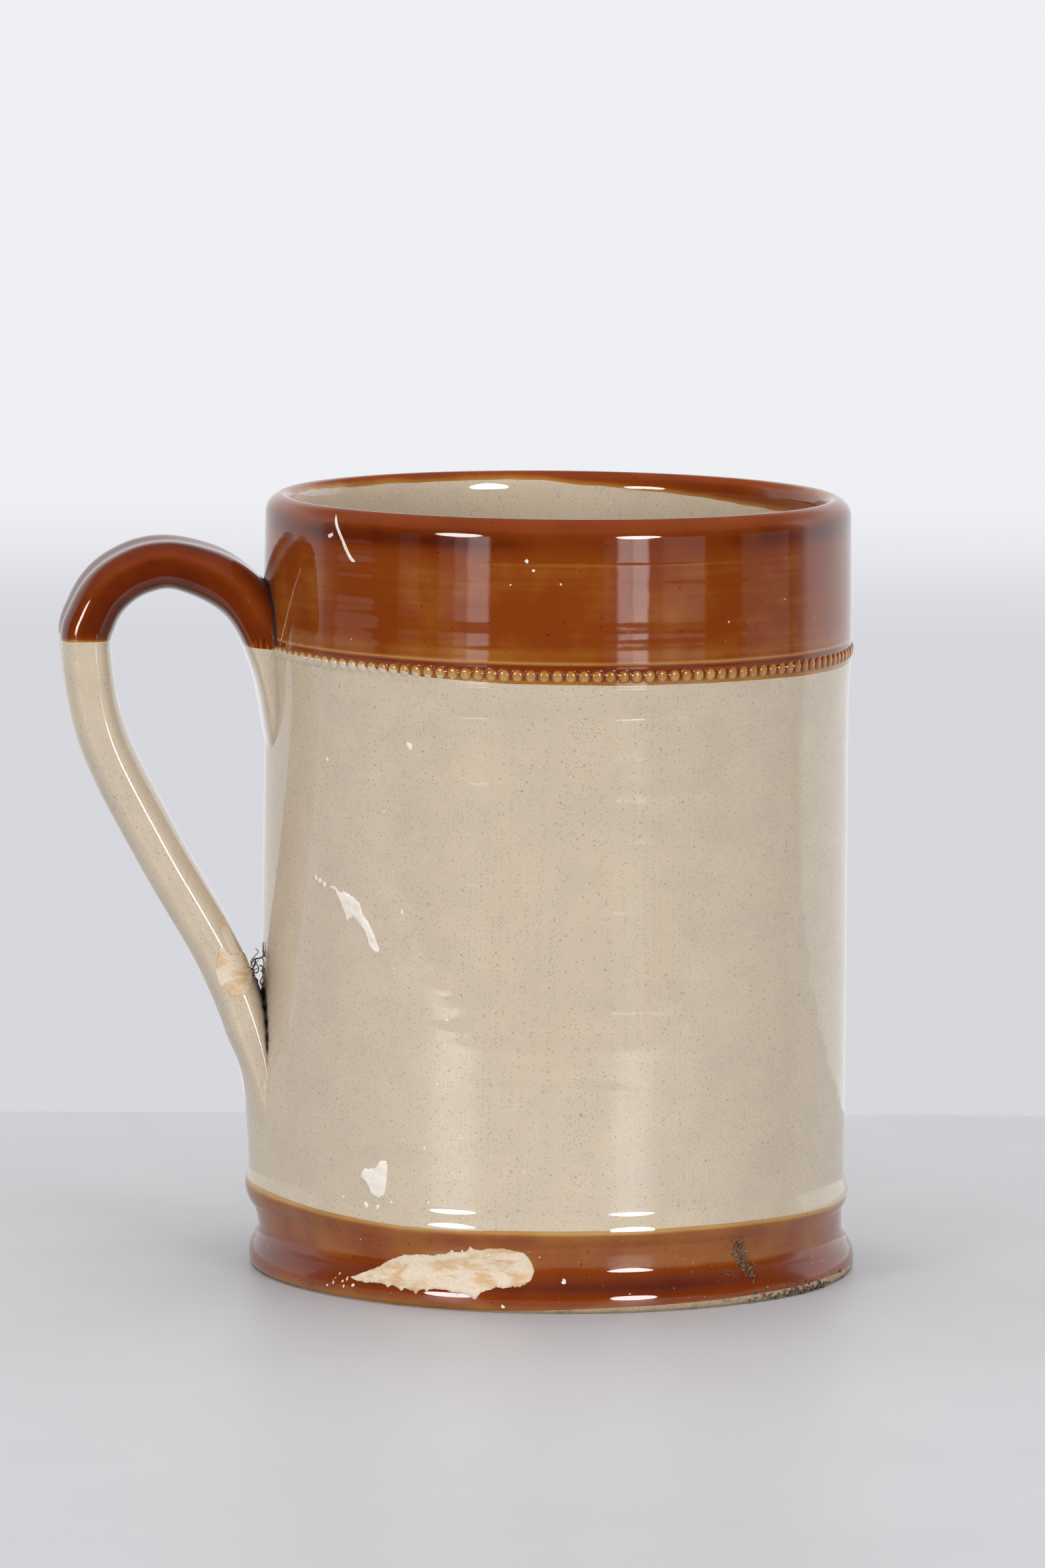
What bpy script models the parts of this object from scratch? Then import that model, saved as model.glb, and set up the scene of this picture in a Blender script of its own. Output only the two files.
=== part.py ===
"""A stoneware mug: a turned clay body, a pulled strap handle luted on with slip,
four dipped glaze coats on the body, three on the handle, and hard dried filler.

The mug stands on z = 0 with its axis on world Z.  The handle points along -X.
Every length is in metres.
"""
import math

import bmesh
import bpy
from mathutils import Vector

# Driving sizes
HEIGHT = 0.1200
GLAZE = 0.0006              # thickness of every glaze coat
GAP = 0.0003                # clearance between pieces that touch
SLIP = 0.0009               # thickness of the slip pads under the handle
DIP_LINE = 0.0970           # level where the brown dip ends outside the mug
LIP_DIP_LINE = 0.1160       # level where the brown dip ends inside the mug
FOOT_LINE = 0.0121          # level where the brown foot band ends, on the ridge
BARE_FOOT = 0.0015          # unglazed height at the resting edge
FLOOR = 0.0065              # level of the floor inside

# Finish of the round shapes
BODY_SEGMENTS = 48
STRAP_SIDES = 18
STEPS_PER_STATION = 2
SHARP_EDGE = math.radians(40)
WELD = 0.000001

INSET_CLAY = GLAZE + GAP    # depth of the clay under the glazed surface

# The glazed surface as stretches of (radius, height), each joining the next
RESTING_EDGE = [(0.0463, 0.0), (0.0470, 0.0009)]
FOOT_STRETCH = [
    (0.0470, BARE_FOOT), (0.0470, 0.0022), (0.0459, 0.0042), (0.0451, 0.0062),
    (0.0451, 0.0085), (0.0455, 0.0102), (0.0460, 0.0112), (0.0460, FOOT_LINE),
]
WALL_STRETCH = [
    (0.0460, FOOT_LINE), (0.0460, 0.0128), (0.0453, 0.0144), (0.0452, 0.0300),
    (0.0450, 0.0550), (0.0449, 0.0750), (0.0453, 0.0930), (0.0454, DIP_LINE),
]
LIP_STRETCH = [
    (0.0454, DIP_LINE), (0.0455, 0.1070), (0.0454, 0.1150), (0.0450, 0.1182),
    (0.0442, 0.1195), (0.0430, HEIGHT), (0.0419, 0.1196), (0.0412, 0.1185),
    (0.0409, LIP_DIP_LINE),
]
LINER_WALL = [(0.0409, LIP_DIP_LINE), (0.0406, 0.0850), (0.0402, 0.0500)]
FILLET_RADIUS = 0.0085      # inside, where the wall turns into the floor
FILLET_STEPS = 5
FLOOR_RADIUS_AT_WALL = 0.0399

# The strap handle, station by station from the upper root to the tail:
# outer edge (distance from the axis, height), inner edge (the same), half breadth
STRAP_STATIONS = [
    ((0.0405, 0.1030), (0.0405, 0.0795), 0.0115),
    ((0.0445, 0.1052), (0.0449, 0.0810), 0.0115),
    ((0.0494, 0.1095), (0.0472, 0.0920), 0.0109),
    ((0.0544, 0.11195), (0.0515, 0.10115), 0.0104),
    ((0.0605, 0.1131), (0.0588, 0.1052), 0.0100),
    ((0.0663, 0.11205), (0.0632, 0.1049), 0.0100),
    ((0.0719, 0.1086), (0.06655, 0.1027), 0.0100),
    ((0.07545, 0.1033), (0.0684, 0.0996), 0.0100),
    ((0.07685, 0.0968), (0.0690, 0.0956), 0.0100),
    ((0.07405, 0.0813), (0.06665, 0.0840), 0.0100),
    ((0.06545, 0.0640), (0.05865, 0.0680), 0.0098),
    ((0.0558, 0.04735), (0.0493, 0.0514), 0.0096),
    ((0.0503, 0.0348), (0.0442, 0.0390), 0.0100),
    ((0.0481, 0.0264), (0.0420, 0.0290), 0.0106),
    ((0.0471, 0.0185), (0.0420, 0.0195), 0.0112),
    ((0.0469, 0.0139), (0.0420, 0.0142), 0.0115),
]
ROOT_MARGIN = 0.0025        # how far under the upper root the handle's share begins
ROOT_END_STATION = 4        # the root's share of the strap ends here
CLAY_TAIL_STATION = 13      # the clay strap stops here, the glaze runs on
TAIL_STATION_LENGTH = 0.008 # from the clay's end to the next station
STRAP_SQUARENESS = 3.0      # 2 is an ellipse, higher is squarer
GROOVE_DEPTH = 0.0010       # hollow between the two ridges of the outer face
GROOVE_SHARE = 0.42         # its half width, as a share of the half breadth
CREST_LIFT = 1.12           # brings the crests of the ridges out to the outer edge

# Dried filler on the outside: (angle about the axis in degrees, low, high)
FILLER = 0.0007             # thickness
SMEAR_ROWS = 5
FOOT_SMEAR = [
    (-135.0, 0.0030, 0.0034), (-130.0, 0.0030, 0.0056), (-122.5, 0.0022, 0.0074),
    (-114.0, 0.0027, 0.0086), (-106.0, 0.0040, 0.0092), (-100.5, 0.0043, 0.0082),
    (-98.5, 0.0057, 0.0066),
]
WALL_STREAK = [
    (-148.0, 0.0626, 0.0636), (-142.5, 0.0602, 0.0630), (-137.0, 0.0578, 0.0617),
    (-132.5, 0.0538, 0.0572), (-129.5, 0.0533, 0.0541),
]
LOW_WALL_FLAKE = [(-134.8, 0.0172, 0.0205), (-131.5, 0.0163, 0.0213), (-128.6, 0.0166, 0.0208)]
HANDLE_SMEAR_CENTRE = (-0.0499, 0.0470)
HANDLE_SMEAR_RADII = (0.0024, 0.0036)
HANDLE_SMEAR_SIDES = 16
HANDLE_SMEAR_STATION = 11

# Boxes that cut the strap into shares reach well past the mug
CUTTER_REACH = 0.100
CUTTER_HALF_BREADTH = 0.050
CUTTER_BOTTOM = -0.100
CUTTER_TOP = 0.200
CORE_BOTTOM = -0.001        # level where the turned cutters start, just under the mug

# Colours as linear RGB, with roughness
BARE_CLAY = ((0.52, 0.42, 0.29), 0.75)
SLIP_CLAY = ((0.48, 0.39, 0.28), 0.80)
BROWN_GLAZE = ((0.26, 0.065, 0.010), 0.18)
CREAM_GLAZE = ((0.57, 0.48, 0.34), 0.22)
DRY_FILLER = ((0.85, 0.72, 0.55), 0.85)


def clear_scene():
    for item in list(bpy.data.objects):
        bpy.data.objects.remove(item, do_unlink=True)


def make_material(name, finish):
    colour, roughness = finish
    material = bpy.data.materials.new(name)
    material.use_nodes = True
    shader = material.node_tree.nodes["Principled BSDF"]
    shader.inputs["Base Color"].default_value = (*colour, 1.0)
    shader.inputs["Roughness"].default_value = roughness
    shader.inputs["Metallic"].default_value = 0.0
    material.diffuse_color = (*colour, 1.0)
    return material


def make_object(name, mesh, material=None):
    """Turn the bmesh into an object shaded smooth; without a material it is a cutter."""
    data = bpy.data.meshes.new(name)
    mesh.to_mesh(data)
    mesh.free()
    data.shade_smooth()
    data.set_sharp_from_angle(angle=SHARP_EDGE)
    piece = bpy.data.objects.new(name, data)
    bpy.context.collection.objects.link(piece)
    if material:
        data.materials.append(material)
    else:
        piece.hide_render = True
        piece.display_type = "WIRE"
    return piece


def make_solid(name, mesh, material=None):
    """Weld the bmesh and turn its faces outwards before it becomes an object."""
    bmesh.ops.remove_doubles(mesh, verts=mesh.verts, dist=WELD)
    bmesh.ops.recalc_face_normals(mesh, faces=mesh.faces)
    return make_object(name, mesh, material)


def boolean(piece, other, operation="DIFFERENCE"):
    modifier = piece.modifiers.new(f"{operation.lower()} {other.name}", "BOOLEAN")
    modifier.operation = operation
    modifier.solver = "EXACT"
    modifier.object = other


def offset_line(points, distance):
    """Move a polyline sideways, to its left as it runs, by a constant distance."""
    moved = []
    for index, point in enumerate(points):
        here = Vector(point)
        before = Vector(points[max(index - 1, 0)])
        after = Vector(points[min(index + 1, len(points) - 1)])
        incoming = (here - before) if index else (after - here)
        outgoing = (after - here) if index < len(points) - 1 else incoming
        normals = [Vector((-run.y, run.x)).normalized() for run in (incoming, outgoing)]
        middle = (normals[0] + normals[1]).normalized()
        moved.append(tuple(here + middle * distance / middle.dot(normals[0])))
    return moved


def trimmed(points):
    """Shorten a polyline by half a gap at each end, for its neighbours' sake."""
    ends = []
    for end, inner in ((points[0], points[1]), (points[-1], points[-2])):
        run = Vector(inner) - Vector(end)
        ends.append(tuple(Vector(end) + run.normalized() * GAP / 2))
    return [ends[0], *points[1:-1], ends[1]]


def liner_stretch():
    """The inside surface from the brown dip down the wall, round and to the centre."""
    centre_radius = FLOOR_RADIUS_AT_WALL - FILLET_RADIUS
    centre_height = FLOOR + FILLET_RADIUS
    curve = []
    for step in range(FILLET_STEPS + 1):
        angle = math.pi / 2 * step / FILLET_STEPS
        radius = centre_radius + FILLET_RADIUS * math.cos(angle)
        curve.append((radius, centre_height - FILLET_RADIUS * math.sin(angle)))
    return [*LINER_WALL, *curve, (0.0, FLOOR)]


def outer_radius(height):
    """Radius of the glazed outside at a height."""
    outline = RESTING_EDGE + FOOT_STRETCH + WALL_STRETCH[1:] + LIP_STRETCH[1:4]
    for (low_radius, low), (high_radius, high) in zip(outline, outline[1:]):
        if low <= height <= high and high > low:
            return low_radius + (high_radius - low_radius) * (height - low) / (high - low)
    return outline[-1][0]


def turned(name, outline, material=None):
    """Turn an outline of (radius, height) about the axis.

    An outline that starts and ends on the axis is left open there.
    """
    mesh = bmesh.new()
    ring = [mesh.verts.new((radius, 0.0, height)) for radius, height in outline]
    pairs = list(zip(ring, ring[1:]))
    if outline[0][0] or outline[-1][0]:
        pairs.append((ring[-1], ring[0]))
    edges = [mesh.edges.new(pair) for pair in pairs]
    bmesh.ops.spin(
        mesh, geom=ring + edges, axis=(0, 0, 1), cent=(0, 0, 0),
        angle=math.tau, steps=BODY_SEGMENTS,
    )
    return make_solid(name, mesh, material)


def glaze_coat(name, stretch, material):
    surface = trimmed(stretch)
    back = offset_line(surface, GLAZE)
    if stretch[-1][0] == 0.0:
        surface[-1] = (0.0, surface[-1][1])
        back[-1] = (0.0, back[-1][1])
    return turned(name, surface + back[::-1], material)


def clay_body(material):
    """Wall, floor and foot in one thrown piece, bare only at the resting edge."""
    surface = FOOT_STRETCH + WALL_STRETCH[1:] + LIP_STRETCH[1:] + liner_stretch()[1:]
    clay = offset_line(surface, INSET_CLAY)
    clay[-1] = (0.0, clay[-1][1])
    bare_top = (FOOT_STRETCH[0][0], BARE_FOOT - GAP / 2)
    step = (clay[0][0], BARE_FOOT - GAP / 2)
    return turned("thrown_body", [(0.0, 0.0), *RESTING_EDGE, bare_top, step, *clay[1:]], material)


def body_core(name, offset):
    """Cutter: everything inside the glazed outside, grown by an offset."""
    heights = [height for _, height in FOOT_STRETCH + WALL_STRETCH[1:] + LIP_STRETCH[1:4]]
    wall = [(outer_radius(height) + offset, height) for height in heights]
    wall = [(wall[0][0], CORE_BOTTOM), *wall, (wall[-1][0], HEIGHT)]
    return turned(name, [(0.0, CORE_BOTTOM), *wall, (0.0, HEIGHT)])


def curve_point(points, station, share):
    """Catmull-Rom point between one station and the next."""
    last = len(points) - 1
    before, start, end, after = (
        Vector(points[min(max(index, 0), last)]) for index in range(station - 1, station + 3)
    )
    swing = 2 * before - 5 * start + 4 * end - after
    return (
        start
        + (end - before) * share / 2
        + swing * share ** 2 / 2
        + (3 * start - 3 * end + after - before) * share ** 3 / 2
    )


def smooth_line(points, last_station):
    """The curve through the points, up to a station that may be a fraction."""
    line = []
    for step in range(math.ceil(last_station * STEPS_PER_STATION) + 1):
        place = min(step / STEPS_PER_STATION, last_station)
        station = min(int(place), len(points) - 2)
        line.append(tuple(curve_point(points, station, place - station)))
    return line


def strap_section(outer, inner, half_breadth, inset):
    """Closed rounded section between an outer and an inner edge point."""
    middle = (Vector(outer) + Vector(inner)) / 2
    reach = (Vector(outer) - Vector(inner)) / 2
    section = []
    for side in range(STRAP_SIDES):
        angle = math.tau * side / STRAP_SIDES
        power = 2 / STRAP_SQUARENESS
        across = math.copysign(abs(math.cos(angle)) ** power, math.cos(angle))
        out = math.copysign(abs(math.sin(angle)) ** power, math.sin(angle))
        if out > 0:
            out = CREST_LIFT * out - GROOVE_DEPTH / reach.length * math.exp(-(across / GROOVE_SHARE) ** 2)
        point = middle + reach * out
        section.append((-point.x, across * (half_breadth - inset), point.y))
    return section


def strap(name, inset, last_station=len(STRAP_STATIONS) - 1, material=None):
    """The handle's strap as one loft, its surface moved inwards by the inset."""
    outer = smooth_line([station[0] for station in STRAP_STATIONS], last_station)
    inner = smooth_line([station[1] for station in STRAP_STATIONS], last_station)
    breadth = smooth_line([(station[2], 0.0) for station in STRAP_STATIONS], last_station)
    outer = offset_line(outer, -inset)
    inner = offset_line(inner, inset)
    mesh = bmesh.new()
    rings = []
    for outer_point, inner_point, (half_breadth, _) in zip(outer, inner, breadth):
        section = strap_section(outer_point, inner_point, half_breadth, inset)
        rings.append([mesh.verts.new(point) for point in section])
    for ring, following in zip(rings, rings[1:]):
        for side in range(STRAP_SIDES):
            after = (side + 1) % STRAP_SIDES
            mesh.faces.new((ring[side], ring[after], following[after], following[side]))
    mesh.faces.new(rings[0])
    mesh.faces.new(rings[-1])
    return make_solid(name, mesh, material)


def handle_side_block(name, low, high, reach=CUTTER_REACH):
    """Cutter: a box on the handle's side of the axis, between two levels."""
    mesh = bmesh.new()
    bmesh.ops.create_cube(mesh, size=1.0)
    corner = Vector((-reach, -CUTTER_HALF_BREADTH, low))
    size = Vector((reach, 2 * CUTTER_HALF_BREADTH, high - low))
    for vertex in mesh.verts:
        vertex.co = corner + Vector((value + 0.5) * length for value, length in zip(vertex.co, size))
    return make_solid(name, mesh)


def make_handle(clay, slip, brown, cream, coats):
    """The strap, the slip pads that hold it, its glaze, and its holes in the coats."""
    strap_core = body_core("strap_core", GAP - GLAZE + SLIP + GAP)
    handle = strap("pulled_handle", INSET_CLAY, CLAY_TAIL_STATION, clay)
    boolean(handle, strap_core)

    slip_core = body_core("slip_core", -GLAZE)
    slip_limit = body_core("slip_limit", SLIP - GLAZE)
    root_bottom = STRAP_STATIONS[0][1][1] - ROOT_MARGIN
    half = {
        "upper_lute": handle_side_block("upper_half", root_bottom, CUTTER_TOP),
        "lower_lute": handle_side_block("lower_half", CUTTER_BOTTOM, root_bottom),
    }
    for name, side in half.items():
        lute = strap(name, INSET_CLAY, CLAY_TAIL_STATION, slip)
        boolean(lute, slip_limit, "INTERSECT")
        boolean(lute, slip_core)
        boolean(lute, side, "INTERSECT")

    opening = strap("coat_opening", -GAP)
    for coat in coats:
        boolean(coat, opening)

    hollow = strap("sleeve_hollow", GLAZE, CLAY_TAIL_STATION + GAP / TAIL_STATION_LENGTH)
    sleeve_core = body_core("sleeve_core", GAP)
    root_reach = STRAP_STATIONS[ROOT_END_STATION][0][0]
    above = DIP_LINE + GAP / 2
    below = DIP_LINE - GAP / 2
    shares = {
        "handle_dip_glaze": (brown, above, CUTTER_TOP, CUTTER_REACH),
        "handle_limb_glaze": (cream, CUTTER_BOTTOM, below, CUTTER_REACH),
        "root_fillet_glaze": (cream, root_bottom, below, root_reach),
    }
    root_space = handle_side_block("root_space", root_bottom, CUTTER_TOP, root_reach)
    for name, (material, low, high, reach) in shares.items():
        sleeve = strap(name, 0.0, material=material)
        boolean(sleeve, hollow)
        boolean(sleeve, sleeve_core)
        boolean(sleeve, handle_side_block(f"{name}_share", low, high, reach), "INTERSECT")
        if name == "handle_limb_glaze":
            boolean(sleeve, root_space)


def thicken(piece, thickness):
    """Give an open sheet a thickness on the side its faces point to."""
    modifier = piece.modifiers.new("thickness", "SOLIDIFY")
    modifier.thickness = thickness
    modifier.offset = 1.0


def filler_smear(name, columns, material):
    """A thin hard smear that follows the turned outside, column by column."""
    mesh = bmesh.new()
    grid = []
    for degrees, low, high in columns:
        angle = math.radians(degrees)
        column = []
        for row in range(SMEAR_ROWS):
            height = low + (high - low) * row / (SMEAR_ROWS - 1)
            radius = outer_radius(height) + GAP
            place = (radius * math.cos(angle), radius * math.sin(angle), height)
            column.append(mesh.verts.new(place))
        grid.append(column)
    for left, right in zip(grid, grid[1:]):
        for row in range(SMEAR_ROWS - 1):
            mesh.faces.new((left[row], right[row], right[row + 1], left[row + 1]))
    thicken(make_object(name, mesh, material), FILLER)


def handle_smear(name, material):
    """A thin oval smear on the near side of the strap's lower limb."""
    mesh = bmesh.new()
    centre_x, centre_z = HANDLE_SMEAR_CENTRE
    side = -(STRAP_STATIONS[HANDLE_SMEAR_STATION][2] + GAP)
    rim = []
    for step in range(HANDLE_SMEAR_SIDES):
        angle = math.tau * step / HANDLE_SMEAR_SIDES
        x = centre_x + HANDLE_SMEAR_RADII[0] * math.cos(angle)
        z = centre_z + HANDLE_SMEAR_RADII[1] * math.sin(angle)
        rim.append(mesh.verts.new((x, side, z)))
    mesh.faces.new(rim)
    thicken(make_object(name, mesh, material), FILLER)


def main():
    clear_scene()
    clay = make_material("bare_clay", BARE_CLAY)
    slip = make_material("slip", SLIP_CLAY)
    brown = make_material("brown_glaze", BROWN_GLAZE)
    cream = make_material("cream_glaze", CREAM_GLAZE)
    filler = make_material("dry_filler", DRY_FILLER)

    clay_body(clay)
    glaze_coat("foot_glaze_band", FOOT_STRETCH, brown)
    wall_coat = glaze_coat("wall_glaze", WALL_STRETCH, cream)
    lip_coat = glaze_coat("lip_dip_glaze", LIP_STRETCH, brown)
    glaze_coat("liner_glaze", liner_stretch(), cream)
    make_handle(clay, slip, brown, cream, (wall_coat, lip_coat))
    filler_smear("foot_filler_smear", FOOT_SMEAR, filler)
    filler_smear("wall_filler_streak", WALL_STREAK, filler)
    filler_smear("low_wall_filler_flake", LOW_WALL_FLAKE, filler)
    handle_smear("handle_filler_smear", filler)


main()
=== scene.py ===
# Looks of the stoneware mug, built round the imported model.  Lengths are in metres, except
# in the tables and arguments that say millimetres.
# The mug stands on z = 0, its axis is world Z, and the handle points along -X.
# An "angle" is measured about the axis from +X; -90 degrees faces the viewer.

import math

import bmesh
import bpy
import numpy as np
from mathutils import Matrix, Vector, noise
from mathutils.bvhtree import BVHTree
from mathutils.kdtree import KDTree


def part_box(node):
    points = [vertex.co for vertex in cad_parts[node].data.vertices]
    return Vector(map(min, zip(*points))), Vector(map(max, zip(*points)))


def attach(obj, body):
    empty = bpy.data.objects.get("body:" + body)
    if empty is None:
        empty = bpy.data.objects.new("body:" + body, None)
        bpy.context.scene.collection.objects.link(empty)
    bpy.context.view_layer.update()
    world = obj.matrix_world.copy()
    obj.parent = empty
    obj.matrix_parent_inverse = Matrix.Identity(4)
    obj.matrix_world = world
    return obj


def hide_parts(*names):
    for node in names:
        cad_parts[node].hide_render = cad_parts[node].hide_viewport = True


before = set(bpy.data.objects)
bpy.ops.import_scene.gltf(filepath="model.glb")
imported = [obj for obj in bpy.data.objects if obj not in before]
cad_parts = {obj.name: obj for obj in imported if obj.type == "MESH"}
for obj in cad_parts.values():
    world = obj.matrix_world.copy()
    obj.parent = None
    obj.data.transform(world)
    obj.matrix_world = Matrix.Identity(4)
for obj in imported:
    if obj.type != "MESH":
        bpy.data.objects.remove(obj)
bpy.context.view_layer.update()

MM = 0.001

# ---------------------------------------------------------------- sizes
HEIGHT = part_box("lip_dip_glaze")[1].z
STRETCH = HEIGHT / 0.120     # the tables are for a mug 120 mm tall
CAMERA_AZIMUTH = math.radians(-5.0)

# The glazed surface, as (radius, height) in millimetres, up the outside and over the lip
OUTSIDE = [
    (46.3, 0.0), (46.8, 0.35), (47.1, 1.0), (47.1, 2.0), (46.95, 2.8), (46.6, 3.6), (46.0, 4.5),
    (45.5, 5.2), (45.22, 6.0), (45.13, 6.7), (45.1, 8.6), (45.3, 9.9), (45.85, 10.9), (46.05, 11.8),
    (46.05, 12.5), (45.95, 12.9), (45.40, 14.85), (45.36, 15.05), (45.35, 15.8), (45.35, 40.0),
    (45.1, 86.0), (45.12, 90.0), (45.42, 94.6), (45.5, 98.0), (45.45, 104.0), (45.36, 109.0),
    (45.27, 113.6), (45.24, 116.4), (45.21, 117.5), (45.03, 118.2), (44.6, 118.9), (43.8, 119.6),
    (42.9, 120.0), (42.0, 119.8), (41.3, 119.1), (40.95, 117.8),
]
# The same down the inside to the fillet at the floor
INSIDE = [(40.9, 115.5), (40.6, 85.0), (40.2, 50.0), (39.9, 16.5)]
FLOOR_LEVEL = 6.5
FLOOR_FILLET = 8.5
FILLET_POINTS = 12
PROFILE_STEP = 0.05 * MM
PROFILE_SOFTNESS = 0.20 * MM

# Decoration and glaze lines on the outside
BEAD_LEVEL = 96.6 * MM
BEAD_COUNT = 142
BEAD_RADIUS = 0.88 * MM
BEAD_HEIGHT = 0.42 * MM
BEAD_CHANNEL = 0.09 * MM
BEAD_BAND = (94.4 * MM, 98.9 * MM)
LINE_LEVEL = 98.05 * MM
RING_LEVEL = 113.2 * MM
DIP_LEVEL = 97.0 * MM
COLLAR_OVER = 50 * MM        # the marks of the collar start over this
PLAIN_POOL = 0.42            # depth of the brown glaze where nothing thins or pools it
GLAZE_EDGE = 0.02 * MM

# Strap handle, from the upper root round to the tail, as
# outer edge (distance out, height), inner edge (the same), half breadth
STRAP = [
    ((43.2, 103.9), (43.2, 80.3), 11.5),
    ((44.5, 105.0), (44.9, 81.0), 11.5),
    ((49.4, 109.5), (47.2, 92.2), 10.9),
    ((54.4, 111.95), (51.5, 101.15), 10.4),
    ((60.5, 113.1), (58.8, 105.2), 10.0),
    ((66.3, 112.05), (63.2, 104.9), 10.0),
    ((71.9, 108.6), (66.55, 102.7), 10.0),
    ((75.45, 103.3), (68.4, 99.6), 10.0),
    ((76.85, 96.8), (69.0, 95.6), 10.0),
    ((74.05, 81.3), (66.65, 84.0), 10.0),
    ((65.45, 64.0), (58.65, 68.0), 9.8),
    ((55.8, 47.35), (49.3, 51.4), 9.6),
    ((50.65, 34.8), (44.2, 39.0), 10.2),
    ((49.3, 26.4), (42.4, 29.0), 11.2),
    ((48.6, 18.5), (42.4, 19.5), 12.0),
]

# The mound that the handle's tail makes on the wall: height, rise and half breadth
TAIL_MOUND = [
    (2.5, 0.0, 20.0), (5.0, 0.15, 20.0), (7.0, 0.6, 19.5), (9.5, 1.25, 19.0),
    (11.0, 1.45, 19.0), (12.1, 1.65, 19.0), (13.3, 2.0, 18.5), (15.0, 1.85, 18.0),
    (19.0, 2.0, 17.0), (22.0, 2.25, 16.5), (26.0, 2.55, 16.0), (29.0, 2.5, 15.5),
    (31.5, 2.2, 15.0), (34.5, 1.5, 14.5), (38.0, 0.7, 14.0), (43.0, 0.0, 13.5),
]
TAIL_SINK = (21.0 * MM, 37.0 * MM)


# ---------------------------------------------------------------- shader helpers
class Graph:
    """A material's or a world's nodes, with short names for those it is built from."""

    def __init__(self, owner):
        owner.use_nodes = True
        self.owner = owner
        self.tree = owner.node_tree
        self.shader = self.tree.nodes.get("Principled BSDF")
        self.place = self.new("TexCoord").outputs["Object"]

    def new(self, kind, **sockets):
        """A new node with its sockets set or linked; underscores stand for spaces."""
        node = self.tree.nodes.new("ShaderNode" + kind)
        self.fill(node, **sockets)
        return node

    def fill(self, node, **sockets):
        for name, value in sockets.items():
            self.feed(node.inputs[name.replace("_", " ")], value)

    def finish(self, **sockets):
        """The material, once its shader's sockets are set or linked."""
        self.fill(self.shader, **sockets)
        return self.owner

    def feed(self, socket, value):
        if isinstance(value, bpy.types.NodeSocket):
            self.tree.links.new(value, socket)
        elif isinstance(value, tuple) and len(value) == 3 and socket.type == "RGBA":
            socket.default_value = (*value, 1.0)
        else:
            socket.default_value = value

    def math(self, operation, first, second=0.0):
        node = self.new("Math")
        node.operation = operation
        self.feed(node.inputs[0], first)
        self.feed(node.inputs[1], second)
        return node.outputs[0]

    def times(self, first, second):
        return self.math("MULTIPLY", first, second)

    def noise(self, size, detail=2.0, stretch=None, roughness=0.5, distortion=0.0):
        """Noise with features of about the given size in metres, near 0.5 on average."""
        place = self.place
        if stretch:
            place = self.new("Mapping", Scale=stretch, Vector=place).outputs["Vector"]
        return self.new(
            "TexNoise", Vector=place, Scale=1 / size, Detail=detail, Roughness=roughness,
            Distortion=distortion,
        ).outputs["Fac"]

    def range(self, value, low, high, to_low=0.0, to_high=1.0):
        node = self.new(
            "MapRange", Value=value, From_Min=low, From_Max=high, To_Min=to_low, To_Max=to_high,
        )
        node.interpolation_type = "SMOOTHSTEP"
        return node.outputs["Result"]

    def specks(self, spacing, size, share):
        """Small round specks: 1 inside one, 0 elsewhere; share of the cells have one."""
        node = self.new("TexVoronoi", Vector=self.place, Scale=1 / spacing)
        chosen = self.new("SeparateColor", Color=node.outputs["Color"])
        present = self.math("LESS_THAN", chosen.outputs[0], share)
        reach = self.times(chosen.outputs[1], size / spacing)
        near = self.math("SUBTRACT", reach, node.outputs["Distance"])
        return self.times(self.range(near, 0.0, 0.25 * size / spacing), present)

    def attribute(self, name):
        node = self.new("Attribute")
        node.attribute_name = name
        return node.outputs["Fac"]

    def mix(self, factor, first, second, blend="MIX"):
        node = self.new("Mix")
        node.data_type = "RGBA"
        node.blend_type = blend
        # the colour sockets share their names with the other types' sockets
        for index, value in ((0, factor), (6, first), (7, second)):
            self.feed(node.inputs[index], value)
        return node.outputs[2]

    def ramp(self, value, stops):
        node = self.new("ValToRGB", Fac=value)
        elements = node.color_ramp.elements
        while len(elements) < len(stops):
            elements.new(0.5)
        for element, (position, colour) in zip(elements, stops):
            element.position = position
            element.color = (*colour, 1.0)
        return node.outputs["Color"]

    def bump(self, height, distance, **normal):
        return self.new("Bump", Height=height, Distance=distance, **normal).outputs["Normal"]


def material_graph(name):
    return Graph(bpy.data.materials.new(name))


# ---------------------------------------------------------------- materials
def throwing_streaks(graph):
    """Fine level streaks that the potter's fingers leave, as a 0 to 1 noise."""
    return graph.noise(0.9 * MM, detail=3, stretch=(0.05, 0.05, 1))


def glaze_relief(graph):
    """Faint orange peel over slow waves, as a normal."""
    slow = graph.bump(graph.noise(7 * MM, detail=1, stretch=(1, 1, 2)), 0.022 * MM)
    return graph.bump(graph.noise(0.9 * MM, detail=2), 0.0015 * MM, Normal=slow)


def painted_crease_shade(graph):
    """Painted shade in the creases by the handle, from 0 to 1, by the mesh's crease mark."""
    patchy = graph.range(graph.noise(1.6 * MM, detail=2), 0.3, 0.7, 0.40, 0.66)
    return graph.range(graph.times(graph.attribute("crease"), patchy), 0.14, 0.50)


# Specks in a glaze: spacing and size in millimetres, share of the places, strength, colour
CREAM_SPECKS = [
    (0.30, 0.15, 0.70, 0.50, (0.24, 0.215, 0.18)),
    (0.85, 0.24, 0.40, 0.42, (0.20, 0.175, 0.145)),
    (5.00, 0.36, 0.16, 0.60, (0.36, 0.20, 0.085)),
]
IRON_SPECKS = (1.10, 0.20, 0.60, 0.75, (0.03, 0.008, 0.003))

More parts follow.
